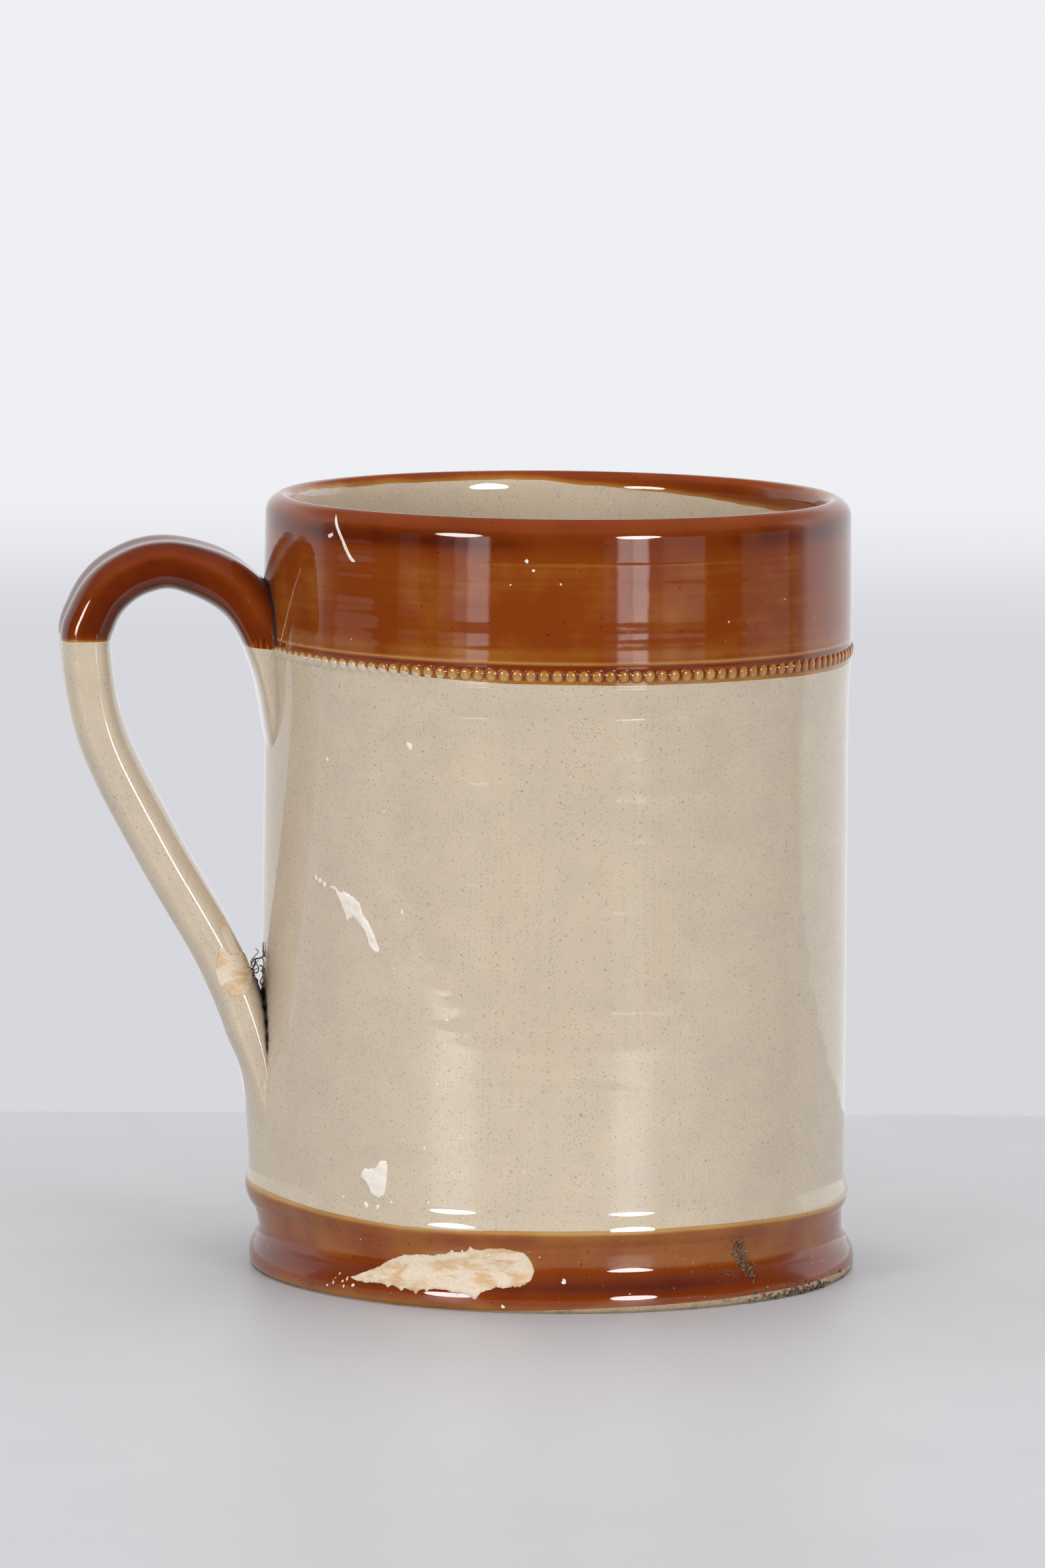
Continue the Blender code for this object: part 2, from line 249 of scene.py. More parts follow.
# The brown glaze by its depth, from thin to pooled
BROWN_RAMP = [
    (0.00, (0.46, 0.270, 0.085)), (0.18, (0.36, 0.145, 0.024)), (0.42, (0.222, 0.043, 0.0048)),
    (0.62, (0.160, 0.026, 0.0033)), (0.82, (0.085, 0.011, 0.002)), (1.00, (0.040, 0.005, 0.001)),
]


def speckled(graph, colour, spacing, size, share, strength, tint):
    spots = graph.times(graph.specks(spacing * MM, size * MM, share), strength)
    return graph.mix(spots, colour, tint)


def glaze_colour(graph):
    """Cream and brown glaze over buff clay, by the mesh's brown and pool attributes."""
    mottle = graph.noise(6 * MM, detail=4, roughness=0.6)
    cream = graph.mix(graph.range(mottle, 0.3, 0.7), (0.545, 0.455, 0.350), (0.59, 0.492, 0.368))
    streaks = graph.times(graph.range(throwing_streaks(graph), 0.35, 0.75), 0.13)
    cream = graph.mix(streaks, cream, (0.475, 0.405, 0.315))
    # painted light: the cream inside the mug is made a little brighter than the same cream outside
    cream = graph.mix(graph.attribute("inside"), cream, (1.02, 1.01, 1.01), "MULTIPLY")
    warm = graph.range(graph.noise(15 * MM, detail=3, stretch=(1, 1, 1.6)), 0.45, 0.72, 0.0, 0.35)
    cream = graph.mix(warm, cream, (0.585, 0.485, 0.345))
    for specks in CREAM_SPECKS:
        cream = speckled(graph, cream, *specks)

    cloud = graph.times(graph.noise(9 * MM, detail=3), 0.36)
    streak = graph.times(graph.math("SUBTRACT", throwing_streaks(graph), 0.5), 0.12)
    depth = graph.math("ADD", graph.attribute("pool"), streak)
    depth = graph.math("ADD", depth, graph.math("SUBTRACT", cloud, 0.18))
    brown = speckled(graph, graph.ramp(depth, BROWN_RAMP), *IRON_SPECKS)
    return graph.mix(graph.range(graph.attribute("brown"), 0.40, 0.60), cream, brown)


def glaze_material(name, roughness):
    graph = material_graph(name)
    dirt_and_shade = painted_crease_shade(graph)
    # painted shade: a near-black colour darkens the glaze along the creases by the handle
    colour = graph.mix(dirt_and_shade, glaze_colour(graph), (0.028, 0.020, 0.016))
    patches = graph.noise(3 * MM, detail=5, roughness=0.7)
    scuff = graph.range(patches, 0.55, 0.8, roughness, roughness + 0.1)
    dull = graph.math("ADD", scuff, graph.times(dirt_and_shade, 0.7))
    relief = glaze_relief(graph)
    return graph.finish(Base_Color=colour, Roughness=dull, Normal=relief, IOR=1.54)


def clay_material(name, pale, dark):
    graph = material_graph(name)
    grain = graph.noise(0.5 * MM, detail=4, roughness=0.7)
    stain = graph.noise(4 * MM, detail=4, roughness=0.65)
    colour = graph.mix(graph.range(grain, 0.35, 0.7), pale, dark)
    colour = graph.mix(graph.range(stain, 0.5, 0.75), colour, (0.20, 0.155, 0.10))
    rough = graph.range(grain, 0.2, 0.8, 0.7, 0.95)
    relief = graph.bump(grain, 0.10 * MM)
    return graph.finish(Base_Color=colour, Roughness=rough, Normal=relief)


def filler_material(name, dull, pale, staining):
    graph = material_graph(name)
    crumbs = graph.noise(0.45 * MM, detail=5, roughness=0.7)
    drag = graph.noise(
        1.8 * MM, detail=5, stretch=(0.35, 0.35, 1.0), roughness=0.62, distortion=0.4,
    )
    colour = graph.mix(graph.range(crumbs, 0.3, 0.7), dull, pale)
    tan = graph.times(graph.range(drag, 0.45, 0.64), staining)
    colour = graph.mix(tan, colour, (0.56, 0.36, 0.18))
    relief = graph.bump(crumbs, 0.06 * MM)
    return graph.finish(Base_Color=colour, Roughness=0.9, Normal=relief)


DIRT_RAMP = [
    (0.30, (0.03, 0.018, 0.012)), (0.46, (0.11, 0.062, 0.038)), (0.60, (0.24, 0.155, 0.095)),
    (0.74, (0.47, 0.37, 0.27)),
]


def dirt_material(name):
    graph = material_graph(name)
    patch = graph.noise(0.35 * MM, detail=3, roughness=0.6)
    colour, relief = graph.ramp(patch, DIRT_RAMP), graph.bump(patch, 0.05 * MM)
    return graph.finish(Base_Color=colour, Roughness=0.95, Normal=relief)


# ---------------------------------------------------------------- the turned profile
def resample(points, step):
    """Points a step apart along a polyline."""
    points = np.asarray(points, float)
    along = np.concatenate([[0], np.cumsum(np.hypot(*np.diff(points, axis=0).T))])
    places = np.linspace(0, along[-1], round(along[-1] / step) + 1)
    return np.column_stack([np.interp(places, along, points[:, axis]) for axis in (0, 1)])


def softened(points, step, softness):
    """Round a polyline's corners with a bell-shaped average; its ends stay."""
    reach = math.ceil(3 * softness / step)
    weights = np.exp(-0.5 * (np.arange(-reach, reach + 1) * step / softness) ** 2)
    weights /= weights.sum()
    padded = np.concatenate([
        2 * points[0] - points[reach:0:-1], points, 2 * points[-1] - points[-2:-reach - 2:-1],
    ])
    return np.column_stack([np.convolve(padded[:, axis], weights, "valid") for axis in (0, 1)])


def make_profile():
    """The whole glazed section from the resting edge round to the floor's centre."""
    bottom = FLOOR_LEVEL + FLOOR_FILLET
    radius = INSIDE[-1][0] - FLOOR_FILLET
    fillet = [
        (radius + FLOOR_FILLET * math.cos(turn), bottom - FLOOR_FILLET * math.sin(turn))
        for turn in np.linspace(0, math.pi / 2, FILLET_POINTS)
    ]
    points = np.array([*OUTSIDE, *INSIDE, *fillet, (0.0, FLOOR_LEVEL)]) * MM
    points[:, 1] *= STRETCH
    line = softened(resample(points, PROFILE_STEP), PROFILE_STEP, PROFILE_SOFTNESS)
    line[-1, 0] = 0.0
    return line


PROFILE = make_profile()
ALONG = np.concatenate([[0], np.cumsum(np.hypot(*np.diff(PROFILE, axis=0).T))])
RUN = np.gradient(PROFILE, axis=0)
RUN /= np.hypot(*RUN.T)[:, None]
OUTWARD = np.column_stack([RUN[:, 1], -RUN[:, 0]])
TOP = int(np.argmax(PROFILE[:, 1]))


def outside_at(height):
    """Distance along the profile at a height on the outside."""
    return np.interp(height, PROFILE[:TOP, 1], ALONG[:TOP])


def inside_at(height):
    return np.interp(-np.asarray(height), -PROFILE[TOP:, 1], ALONG[TOP:])


def wander(angle, seed, size, slowest=1, fastest=9):
    """A smooth closed random curve round the mug, up to about the given size."""
    chance = np.random.default_rng(seed)
    total = np.zeros_like(np.asarray(angle, float))
    for order in range(slowest, fastest + 1):
        strength = chance.uniform(0.3, 1.0) / (order - slowest + 1) ** 0.7
        total += strength * np.sin(order * angle + chance.uniform(0, math.tau))
    return size * total / 2


def between(angle, *stops):
    """Smooth value round the mug from (degrees, value) stops, closing on itself."""
    stops = sorted(stops)
    degrees = [stop[0] for stop in stops]
    values = [stop[1] for stop in stops]
    degrees = [degrees[-1] - 360, *degrees, degrees[0] + 360]
    values = [values[-1], *values, values[0]]
    where = np.degrees(angle)
    spread = [np.interp(where + shift, degrees, values) for shift in (-8, -4, 0, 4, 8)]
    return np.mean(spread, axis=0)


def bell(value, centre, width):
    return np.exp(-((value - centre) / width) ** 2)


def bell_mm(height, centre, width):
    return bell(height, centre * MM, width * MM)


def step_up(value, low, high):
    share = np.clip((value - low) / (high - low), 0, 1)
    return share * share * (3 - 2 * share)


def step_mm(height, low, high):
    return step_up(height, low * MM, high * MM)


# ---------------------------------------------------------------- relief of the body
BEAD_CHANCE = np.random.default_rng(7).uniform(0.82, 1.06, BEAD_COUNT)


def bead_level(angle):
    return BEAD_LEVEL + 0.10 * MM * np.sin(2 * angle + 0.6)


def line_over_beads(angle):
    """Height of the turned line over the bead row, which wavers with it."""
    return LINE_LEVEL + (bead_level(angle) - BEAD_LEVEL)


def ring_share(angle):
    """How clear the turned ring under the lip is, round the mug."""
    return between(angle, (-115, 0), (-98, 1), (-65, 0.9), (-40, 0.2), (90, 0.5))


def bead_dome(angle, height):
    """From 0 to 1 over each bead of the rouletted row."""
    turn = angle / math.tau * BEAD_COUNT
    index = np.floor(turn).astype(int) % BEAD_COUNT
    pitch = math.tau * PROFILE[TOP, 0] / BEAD_COUNT
    across = (turn - np.floor(turn) - 0.5) * pitch * 1.06
    up = height - bead_level(angle)
    away = np.hypot(across, up * 0.97) / BEAD_RADIUS
    return np.sqrt(np.clip(1 - away ** 2.6, 0, 1)) * BEAD_CHANCE[index]


def throwing_rings(angle, height):
    """Level ripples of a thrown wall, drifting round as a spiral."""
    turn = np.asarray(angle) / math.tau
    rings = 0.007 * np.sin(math.tau * (height / (7.3 * MM) + turn))
    rings += 0.0035 * np.sin(math.tau * (height / (3.1 * MM) - turn) + 1.1)
    rings += 0.0015 * np.sin(math.tau * height / (1.25 * MM) + 3 * np.sin(angle))
    return rings * MM


def tail_mound(angle, height):
    """How far the wall and the foot rise where the handle's tail runs into them."""
    levels, rises, breadths = (np.array(column) * MM for column in zip(*TAIL_MOUND))
    near = [height + shift * MM for shift in (-1.0, -0.5, 0.0, 0.5, 1.0)]
    rise = np.mean([np.interp(level, levels, rises) for level in near], axis=0)
    breadth = np.interp(height, levels, breadths)
    aside = (math.pi - np.abs(angle)) * PROFILE[TOP, 0]
    return rise * np.clip(1 - (aside / breadth) ** 2, 0, 1) ** 1.5


def outside_relief(angle, height):
    """How far the outside rises over the plain profile."""
    lift = throwing_rings(angle, height) * step_mm(height, 14, 18)
    lift += wander(angle, 3, 0.07 * MM, 2, 4) * step_mm(height, 16, 60)
    lift -= BEAD_CHANNEL * bell(height, bead_level(angle), 1.25 * MM)
    lift += BEAD_HEIGHT * bead_dome(angle, height)
    line = line_over_beads(angle)
    lift -= 0.035 * MM * bell(height, line, 0.22 * MM)
    lift += 0.015 * MM * bell(height, line + 0.50 * MM, 0.26 * MM)
    lift -= 0.012 * MM * bell(height, RING_LEVEL, 0.20 * MM) * ring_share(angle)
    lift += 0.05 * MM * bell_mm(height, 4.6, 0.5)
    return lift + tail_mound(angle, height)


def collar_relief(angle, height):
    return outside_relief(angle, height) * (1 - step_mm(height, 117, 119))


def inside_relief(angle, height):
    turn = angle / math.tau
    rings = 0.05 * np.sin(math.tau * (height / (9 * MM) - turn))
    rings += 0.02 * np.sin(math.tau * (height / (3.7 * MM) + turn))
    return rings * MM * step_mm(-height, -116, -108)


# ---------------------------------------------------------------- glaze marks of the body
def dip_level(angle):
    """Lower edge of the brown dip on the outside: on the beads or just under them."""
    level = between(
        angle, (-178, 97.1), (-140, 97.0), (-128, 96.5), (-112, 95.75), (-90, 95.45),
        (-60, 95.5), (-35, 95.2), (0, 95.3), (60, 95.8), (110, 96.4), (150, 97.0),
    )
    return level * MM + wander(angle, 11, 0.10 * MM, 5, 40)


def foot_level(angle):
    """Upper edge of the brown foot band, on the ridge."""
    level = between(
        angle, (-175, 13.2), (-150, 12.6), (-122, 11.9), (-100, 12.2), (-60, 12.5),
        (-17, 11.6), (60, 12.3), (120, 12.7),
    )
    return level * MM + wander(angle, 5, 0.10 * MM, 6, 24)


def bare_level(angle):
    """Height of the unglazed strip at the resting edge."""
    level = between(
        angle, (-180, 0.3), (-112, 0.15), (-97, 0.4), (-92, 0.7), (-80, 1.1), (-68, 1.15),
        (-40, 1.5), (-15, 1.5), (30, 0.9), (80, 0.3), (140, 0.2),
    )
    return level * MM + wander(angle, 9, 0.04 * MM, 8, 40)


def lip_level(angle):
    """Lower edge of the brown dip on the inside."""
    level = between(
        angle, (-150, 117.4), (-90, 116.6), (-30, 115.4), (0, 115.3), (25, 115.5), (46, 116.1),
        (62, 117.0), (74, 117.6), (82, 118.3), (100, 118.4), (120, 118.45), (145, 118.7),
        (170, 118.6),
    )
    return level * MM + wander(angle, 21, 0.26 * MM, 6, 60)


NEAR_HANDLE = -0.035         # only points further along -X can be near the creases


def crease_shade_near(points, roots):
    """Painted shade on the wall, from 0 to 1, where it comes close to where the handle leaves it.
    """
    away = np.ones(len(points))
    for index in np.flatnonzero(points[:, 0] < NEAR_HANDLE):
        _, _, away[index] = roots.find(points[index])
    return bell(away, 0, crease_shade_reach(points[:, 2])) * crease_shade_depth(points[:, 2])


def beaded_brown(angle, height, dome):
    """Brown share at the bead row: it runs down between beads and off their tops."""
    edge = dip_level(angle) + (0.55 * dome - 0.30) * MM
    return step_up(height, edge - 0.16 * MM, edge + 0.16 * MM)


def outside_marks(angle, height):
    """The brown and pool attributes of the outside."""
    dome = bead_dome(angle, height)
    foot_edge = foot_level(angle)
    brown = beaded_brown(angle, height, dome)
    brown = np.maximum(brown, 1 - step_up(height, foot_edge, foot_edge + GLAZE_EDGE))

    collar = height > COLLAR_OVER
    pool = np.full_like(height, PLAIN_POOL)
    pool -= 0.30 * np.where(collar, bell_mm(height - dip_level(angle), 0, 0.55), 0)
    pool -= np.where(collar, 0.33 * dome, 0)
    gap_share = 1 - np.clip(dome * 1.6, 0, 1)
    pool += 0.26 * (bell(height, bead_level(angle), 0.9 * MM) * gap_share)
    line = line_over_beads(angle)
    pool -= 0.30 * bell(height, line + 0.45 * MM, 0.24 * MM)
    pool += 0.16 * bell(height, line - 0.10 * MM, 0.28 * MM)
    pool -= 0.07 * bell(height, line + 1.6 * MM, 1.0 * MM)
    pool -= 0.12 * ring_share(angle) * bell(height, RING_LEVEL, 0.22 * MM)
    rim = between(
        angle, (-170, 0.16), (-135, 0.28), (-112, 0.30), (-100, 0.06), (-70, 0.04),
        (-48, 0.24), (-20, 0.22), (90, 0.15),
    )
    pool += rim * bell_mm(height, 116.4, 1.5)
    pool += 0.10 * step_mm(height, 112, 117)

    # the foot: thin at its upper edge and on the bulge's lower turn, thick in between
    foot = ~collar
    fringe = 0.12 * MM + wander(angle, 31, 0.16 * MM, 4, 30)
    strip = 1 - step_up(foot_edge - height, fringe, 0.75 * MM)
    pool -= np.where(foot, 0.30 * strip + 0.08 * step_mm(height, 5, 7.5), 0)
    dark = between(
        angle, (-150, 0.26), (-120, 0.32), (-100, 0.30), (-75, 0.40), (-40, 0.22), (60, 0.3),
    )
    pool += np.where(foot, dark * bell_mm(height, 3.9, 1.6), 0)
    pool -= np.where(foot, 0.14 * bell_mm(height, 0.5, 0.8), 0)
    return brown, np.clip(pool, 0, 1)


def inside_marks(angle, height):
    edge = lip_level(angle)
    brown = step_up(height, edge, edge + GLAZE_EDGE)
    pool = PLAIN_POOL - 0.34 * bell(height, edge, 0.7 * MM)
    pool = pool + 0.12 * bell(height, edge + 2.0 * MM, 1.2 * MM)
    return brown, np.clip(pool, 0, 1)


# ---------------------------------------------------------------- mesh building
SHARP_EDGE = math.radians(38)
SHELL = 0.35 * MM            # thickness of a glaze coat


def add_object(name, data):
    item = bpy.data.objects.new(name, data)
    bpy.context.scene.collection.objects.link(item)
    return item


def make_piece(name, points, faces, material, slot, replaced=(), marks=None):
    """A smooth-shaded mesh that rides on the mug, with its marks as attributes."""
    data = bpy.data.meshes.new(name)
    data.from_pydata(np.asarray(points).tolist(), [], faces)
    for mark, values in (marks or {}).items():
        layer = data.attributes.new(mark, "FLOAT", "POINT")
        layer.data.foreach_set("value", np.asarray(values, np.float32))
    data.validate()
    data.shade_smooth()
    data.set_sharp_from_angle(angle=SHARP_EDGE)
    data.materials.append(material)
    piece = add_object(name, data)
    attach(piece, "root")
    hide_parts(*replaced)
    return piece


def grid_faces(rows, columns, closed_rows=False, closed_columns=True):
    """Quads of a grid of points, which may close round its rows and its columns."""
    faces = []
    for row in range(rows if closed_rows else rows - 1):
        low = row * columns
        high = (row + 1) % rows * columns
        for column in range(columns if closed_columns else columns - 1):
            after = (column + 1) % columns
            faces.append((low + column, low + after, high + after, high + column))
    return faces


def tube_faces(rows, sides):
    """Faces of a tube of points, with both ends closed."""
    ends = [tuple(reversed(range(sides))), tuple(range((rows - 1) * sides, rows * sides))]
    return grid_faces(rows, sides) + ends


def mesh_parts(mesh):
    """The points and the faces of a bmesh."""
    mesh.verts.index_update()
    points = [tuple(vertex.co) for vertex in mesh.verts]
    return points, [tuple(vertex.index for vertex in face.verts) for face in mesh.faces]


def profile_points(along, angle, lift):
    """World points at places along the profile, lifted along its normal."""
    radius = np.interp(along, ALONG, PROFILE[:, 0]) + lift * np.interp(along, ALONG, OUTWARD[:, 0])
    height = np.interp(along, ALONG, PROFILE[:, 1]) + lift * np.interp(along, ALONG, OUTWARD[:, 1])
    radius = np.maximum(radius, 0)
    return np.stack([radius * np.cos(angle), radius * np.sin(angle), height], axis=-1)


def turned_skin(low_edge, high_edge, columns, row_step, relief):
    """A thin closed shell over a stretch of the profile.

    The edges are functions of the angle that give a distance along the profile.
    Returns the points, the faces and each point's angle and height.
    """
    angles = np.linspace(-math.pi, math.pi, columns, endpoint=False)
    low, high = low_edge(angles), high_edge(angles)
    rows = max(4, round(float(np.mean(high - low)) / row_step))
    share = np.linspace(0, 1, rows)[:, None]
    front = low + (high - low) * share
    back = low + (high - low) * np.linspace(1, 0, max(4, rows // 6))[:, None]
    along = np.concatenate([front, back])
    angle = np.broadcast_to(angles, along.shape)
    height = np.interp(along, ALONG, PROFILE[:, 1])
    lift = relief(angle, height)
    lift[rows:] = -SHELL
    points = profile_points(along, angle, lift).reshape(-1, 3)
    faces = grid_faces(len(along), columns, closed_rows=True)
    return points, faces, angle.ravel(), height.ravel()


def weld(piece):
    """Merge the points that meet on the axis and drop the faces that vanish there."""
    mesh = bmesh.new()
    mesh.from_mesh(piece.data)
    bmesh.ops.remove_doubles(mesh, verts=mesh.verts, dist=0.0005 * MM)
    bmesh.ops.dissolve_degenerate(mesh, edges=mesh.edges, dist=0.0001 * MM)
    mesh.to_mesh(piece.data)
    mesh.free()


def level_line(height):
    place = float(outside_at(height))
    return lambda angle: np.full_like(angle, place)


def body_pieces(glaze, clay, roots):
    """The glaze coats of the body, the bead row and the clay under them."""

    def glazed(name, low, high, columns, row_step, replaced, slot, relief=outside_relief):
        points, faces, angle, height = turned_skin(low, high, columns, row_step, relief)
        inner = relief is inside_relief
        is_inside = np.hypot(points[:, 0], points[:, 1]) < PROFILE[TOP, 0] - 0.1 * MM
        is_inside = inner | (is_inside & (height > 20 * MM))
        brown, pool = np.where(is_inside, inside_marks(angle, height), outside_marks(angle, height))
        marks = {"brown": brown, "pool": pool, "crease": crease_shade_near(points, roots)}
        if inner:
            marks["inside"] = np.ones(len(points))
        weld(make_piece(name, points, faces, glaze, slot, [replaced], marks))

    def foot_edge(angle):
        return outside_at(foot_level(angle))

    def lip_edge(angle):
        return inside_at(lip_level(angle))

    band_low, band_high = (level_line(height) for height in BEAD_BAND)
    glazed("wall_cream_glaze", foot_edge, band_low, 420, 0.42 * MM, "wall_glaze", "cream_glaze")
    glazed("bead_row", band_low, band_high, BEAD_COUNT * 10, 0.11 * MM,
           "lip_dip_glaze", "brown_glaze")
    glazed("collar_glaze", band_high, lip_edge, 480, 0.22 * MM,
           "lip_dip_glaze", "brown_glaze", collar_relief)
    glazed("foot_brown_glaze", lambda angle: outside_at(bare_level(angle)), foot_edge,
           600, 0.13 * MM, "foot_glaze_band", "brown_glaze")
    glazed("liner_cream_glaze", lip_edge, lambda angle: np.full_like(angle, ALONG[-1]),
           288, 0.8 * MM, "liner_glaze", "cream_glaze", inside_relief)
    clay_piece(clay)


CLAY_COLUMNS = 288
CLAY_STEP = 0.5 * MM
FINE_CLAY = (3 * MM, 0.12 * MM)   # how far up the fine rows go, and their step
WORN_ROWS = 26
BASE_RINGS = 46


def clay_piece(clay):
    """The clay body: bare at the resting edge and underneath, hidden under the glaze."""
    angles = np.linspace(-math.pi, math.pi, CLAY_COLUMNS, endpoint=False)
    along = np.arange(0, ALONG[-1] + CLAY_STEP, CLAY_STEP)
    along = np.concatenate([np.arange(0, *FINE_CLAY), along[along > FINE_CLAY[0]]])
    along[-1] = ALONG[-1]
    under = np.where(along < outside_at(2.2 * MM), -0.04 * MM, -0.5 * SHELL)
    angle = np.broadcast_to(angles, (len(along), CLAY_COLUMNS))
    worn = [[noise.noise((a * 9, s * 900, 3)) for a in angles] for s in along[:WORN_ROWS]]
    lift = np.repeat(under[:, None], CLAY_COLUMNS, axis=1)
    lift[:WORN_ROWS] += 0.05 * MM * np.array(worn)
    sides = profile_points(along[:, None] + 0 * angle, angle, lift)
    sides[0, :, 2] = 0
    sides[..., 2] = np.maximum(sides[..., 2], 0)
    base = [
        np.stack([radius * np.cos(angles), radius * np.sin(angles), 0 * angles], axis=-1)
        for radius in np.linspace(0, PROFILE[0, 0] - 0.4 * MM, BASE_RINGS)
    ]
    points = np.concatenate([np.array(base), sides]).reshape(-1, 3)
    faces = grid_faces(BASE_RINGS + len(along), CLAY_COLUMNS)
    weld(make_piece("clay_body", points, faces, clay, "bare_clay", ["thrown_body"]))


# ---------------------------------------------------------------- the handle
STRAP_SIDES = 72
STRAP_STEPS = 22             # rows from each station to the next
GROOVE_DEPTH = 1.0           # millimetres, between the two ridges of the outer face
GROOVE_SHARE = 0.42          # its half width, as a share of the half breadth
CREST_LIFT = 1.12            # brings the crests of the ridges out to the outer edge
ARCH_SQUARENESS = 3.0        # 2 is an ellipse, higher is squarer
LIMB_SQUARENESS = 2.5
HANDLE_DIP_RISE = 0.95 * MM


def smooth_curve(points, steps):
    """Catmull-Rom curve through points, with so many steps from each to the next."""
    points = np.asarray(points, float)
    ends = np.concatenate([points[:1], points, points[-1:]])
    curve = []
    for before, start, end, after in zip(ends, ends[1:], ends[2:], ends[3:]):
        for share in np.arange(steps) / steps:
            curve.append(
                start + (end - before) * share / 2
                + (2 * before - 5 * start + 4 * end - after) * share ** 2 / 2
                + (3 * start - 3 * end + after - before) * share ** 3 / 2
            )
    return np.array([*curve, points[-1]])


def crease_shade_depth(height):
    """How much painted shade lies where the handle meets the wall: in the crotch, under the arch.
    """
    arch = step_mm(height, 95.5, 99.0)
    seam = 0.10 * step_mm(height, 86, 92)
    crotch = step_mm(height, 30.5, 36) * (1 - step_mm(height, 47.5, 50))
    return np.maximum(np.maximum(arch, seam), crotch)


def crease_shade_reach(height):
    """How far the painted shade spreads from the crease: widest in the crotch, less below it."""
    open_crotch = 1.0 * bell_mm(height, 46, 5)
    closing = 0.35 * (1 - step_mm(height, 32, 39))
    return (0.7 + open_crotch - closing) * MM


def wall_radius(points):
    """Distance from the axis of the wall, with the tail's mound, beside each point."""
    angle = np.arctan2(points[..., 1], points[..., 0])
    height = points[..., 2]
    return np.interp(height, PROFILE[:TOP, 1], PROFILE[:TOP, 0]) + tail_mound(angle, height)


def sink_tail(points):
    """Let the strap's end sink into the mound, so that the two flow together."""
    radius = np.hypot(points[..., 0], points[..., 1])
    under = np.minimum(radius, wall_radius(points) - 0.15 * MM)
    kept = under + (radius - under) * step_up(points[..., 2], *TAIL_SINK)
    points[..., :2] *= (kept / radius)[..., None]


def strap_mesh():
    """The glazed strap: points, faces and the brown, pool and crease marks."""
    outer = smooth_curve([row[0] for row in STRAP], STRAP_STEPS)
    inner = smooth_curve([row[1] for row in STRAP], STRAP_STEPS)
    half = smooth_curve([[row[2]] for row in STRAP], STRAP_STEPS)[:, 0]
    turn = np.linspace(0, math.tau, STRAP_SIDES, endpoint=False)
    rounding = step_up(outer[:, 1] / 2 + inner[:, 1] / 2, 78, 98)[:, None]
    power = 2 / (LIMB_SQUARENESS + (ARCH_SQUARENESS - LIMB_SQUARENESS) * rounding)
    across = np.sign(np.cos(turn)) * np.abs(np.cos(turn)) ** power
    out = np.sign(np.sin(turn)) * np.abs(np.sin(turn)) ** power
    reach = (outer - inner) / 2
    thick = np.hypot(*reach.T)[:, None]
    groove = GROOVE_DEPTH / thick * np.exp(-(across / GROOVE_SHARE) ** 2)
    out = np.where(out > 0, CREST_LIFT * out - groove, out)
    waist = 1 - 0.030 * np.exp(-((out - 0.05) / 0.22) ** 2)
    middle = (outer + inner) / 2
    from_axis = [-reach[:, :1] * out, across * half[:, None], reach[:, 1:] * out]
    x = -(middle[:, :1] + reach[:, :1] * out)
    y = across * half[:, None] * waist
    z = middle[:, 1:] + reach[:, 1:] * out
    points = np.stack([x, y, z], axis=-1) * MM
    points[..., 2] *= STRETCH
    uneven = np.zeros(points.shape[:2])
    for spot in np.ndindex(uneven.shape):
        uneven[spot] = noise.noise(Vector(points[spot]) / (9 * MM))
    points += 0.10 * MM * uneven[..., None] * np.stack(from_axis, axis=-1) / 10
    sink_tail(points)
    height = points[..., 2]
    dip = DIP_LEVEL + HANDLE_DIP_RISE * step_mm(-points[..., 0], 44, 54)
    above = height - (dip + 0.20 * MM * uneven)
    pool = 0.73 - 0.57 * bell_mm(above, 0, 0.45)
    pool = pool + 0.10 * np.clip(-out, 0, 1) + 0.16 * groove * thick / GROOVE_DEPTH
    pool = pool - 0.15 * bell(out, 0.52, 0.24)
    gap = np.hypot(points[..., 0], points[..., 1]) - wall_radius(points)
    # painted shade on the strap where it comes close to the wall
    crease = bell(np.clip(gap, 0, None), 0, crease_shade_reach(height)) * crease_shade_depth(height)
    faces = tube_faces(len(points), STRAP_SIDES)
    marks = {
        "brown": (above > 0).astype(float).ravel(),
        "pool": np.clip(pool, 0, 1).ravel(),
        "crease": crease.ravel(),
        "above": above.ravel(),
    }
    return points.reshape(-1, 3), faces, marks


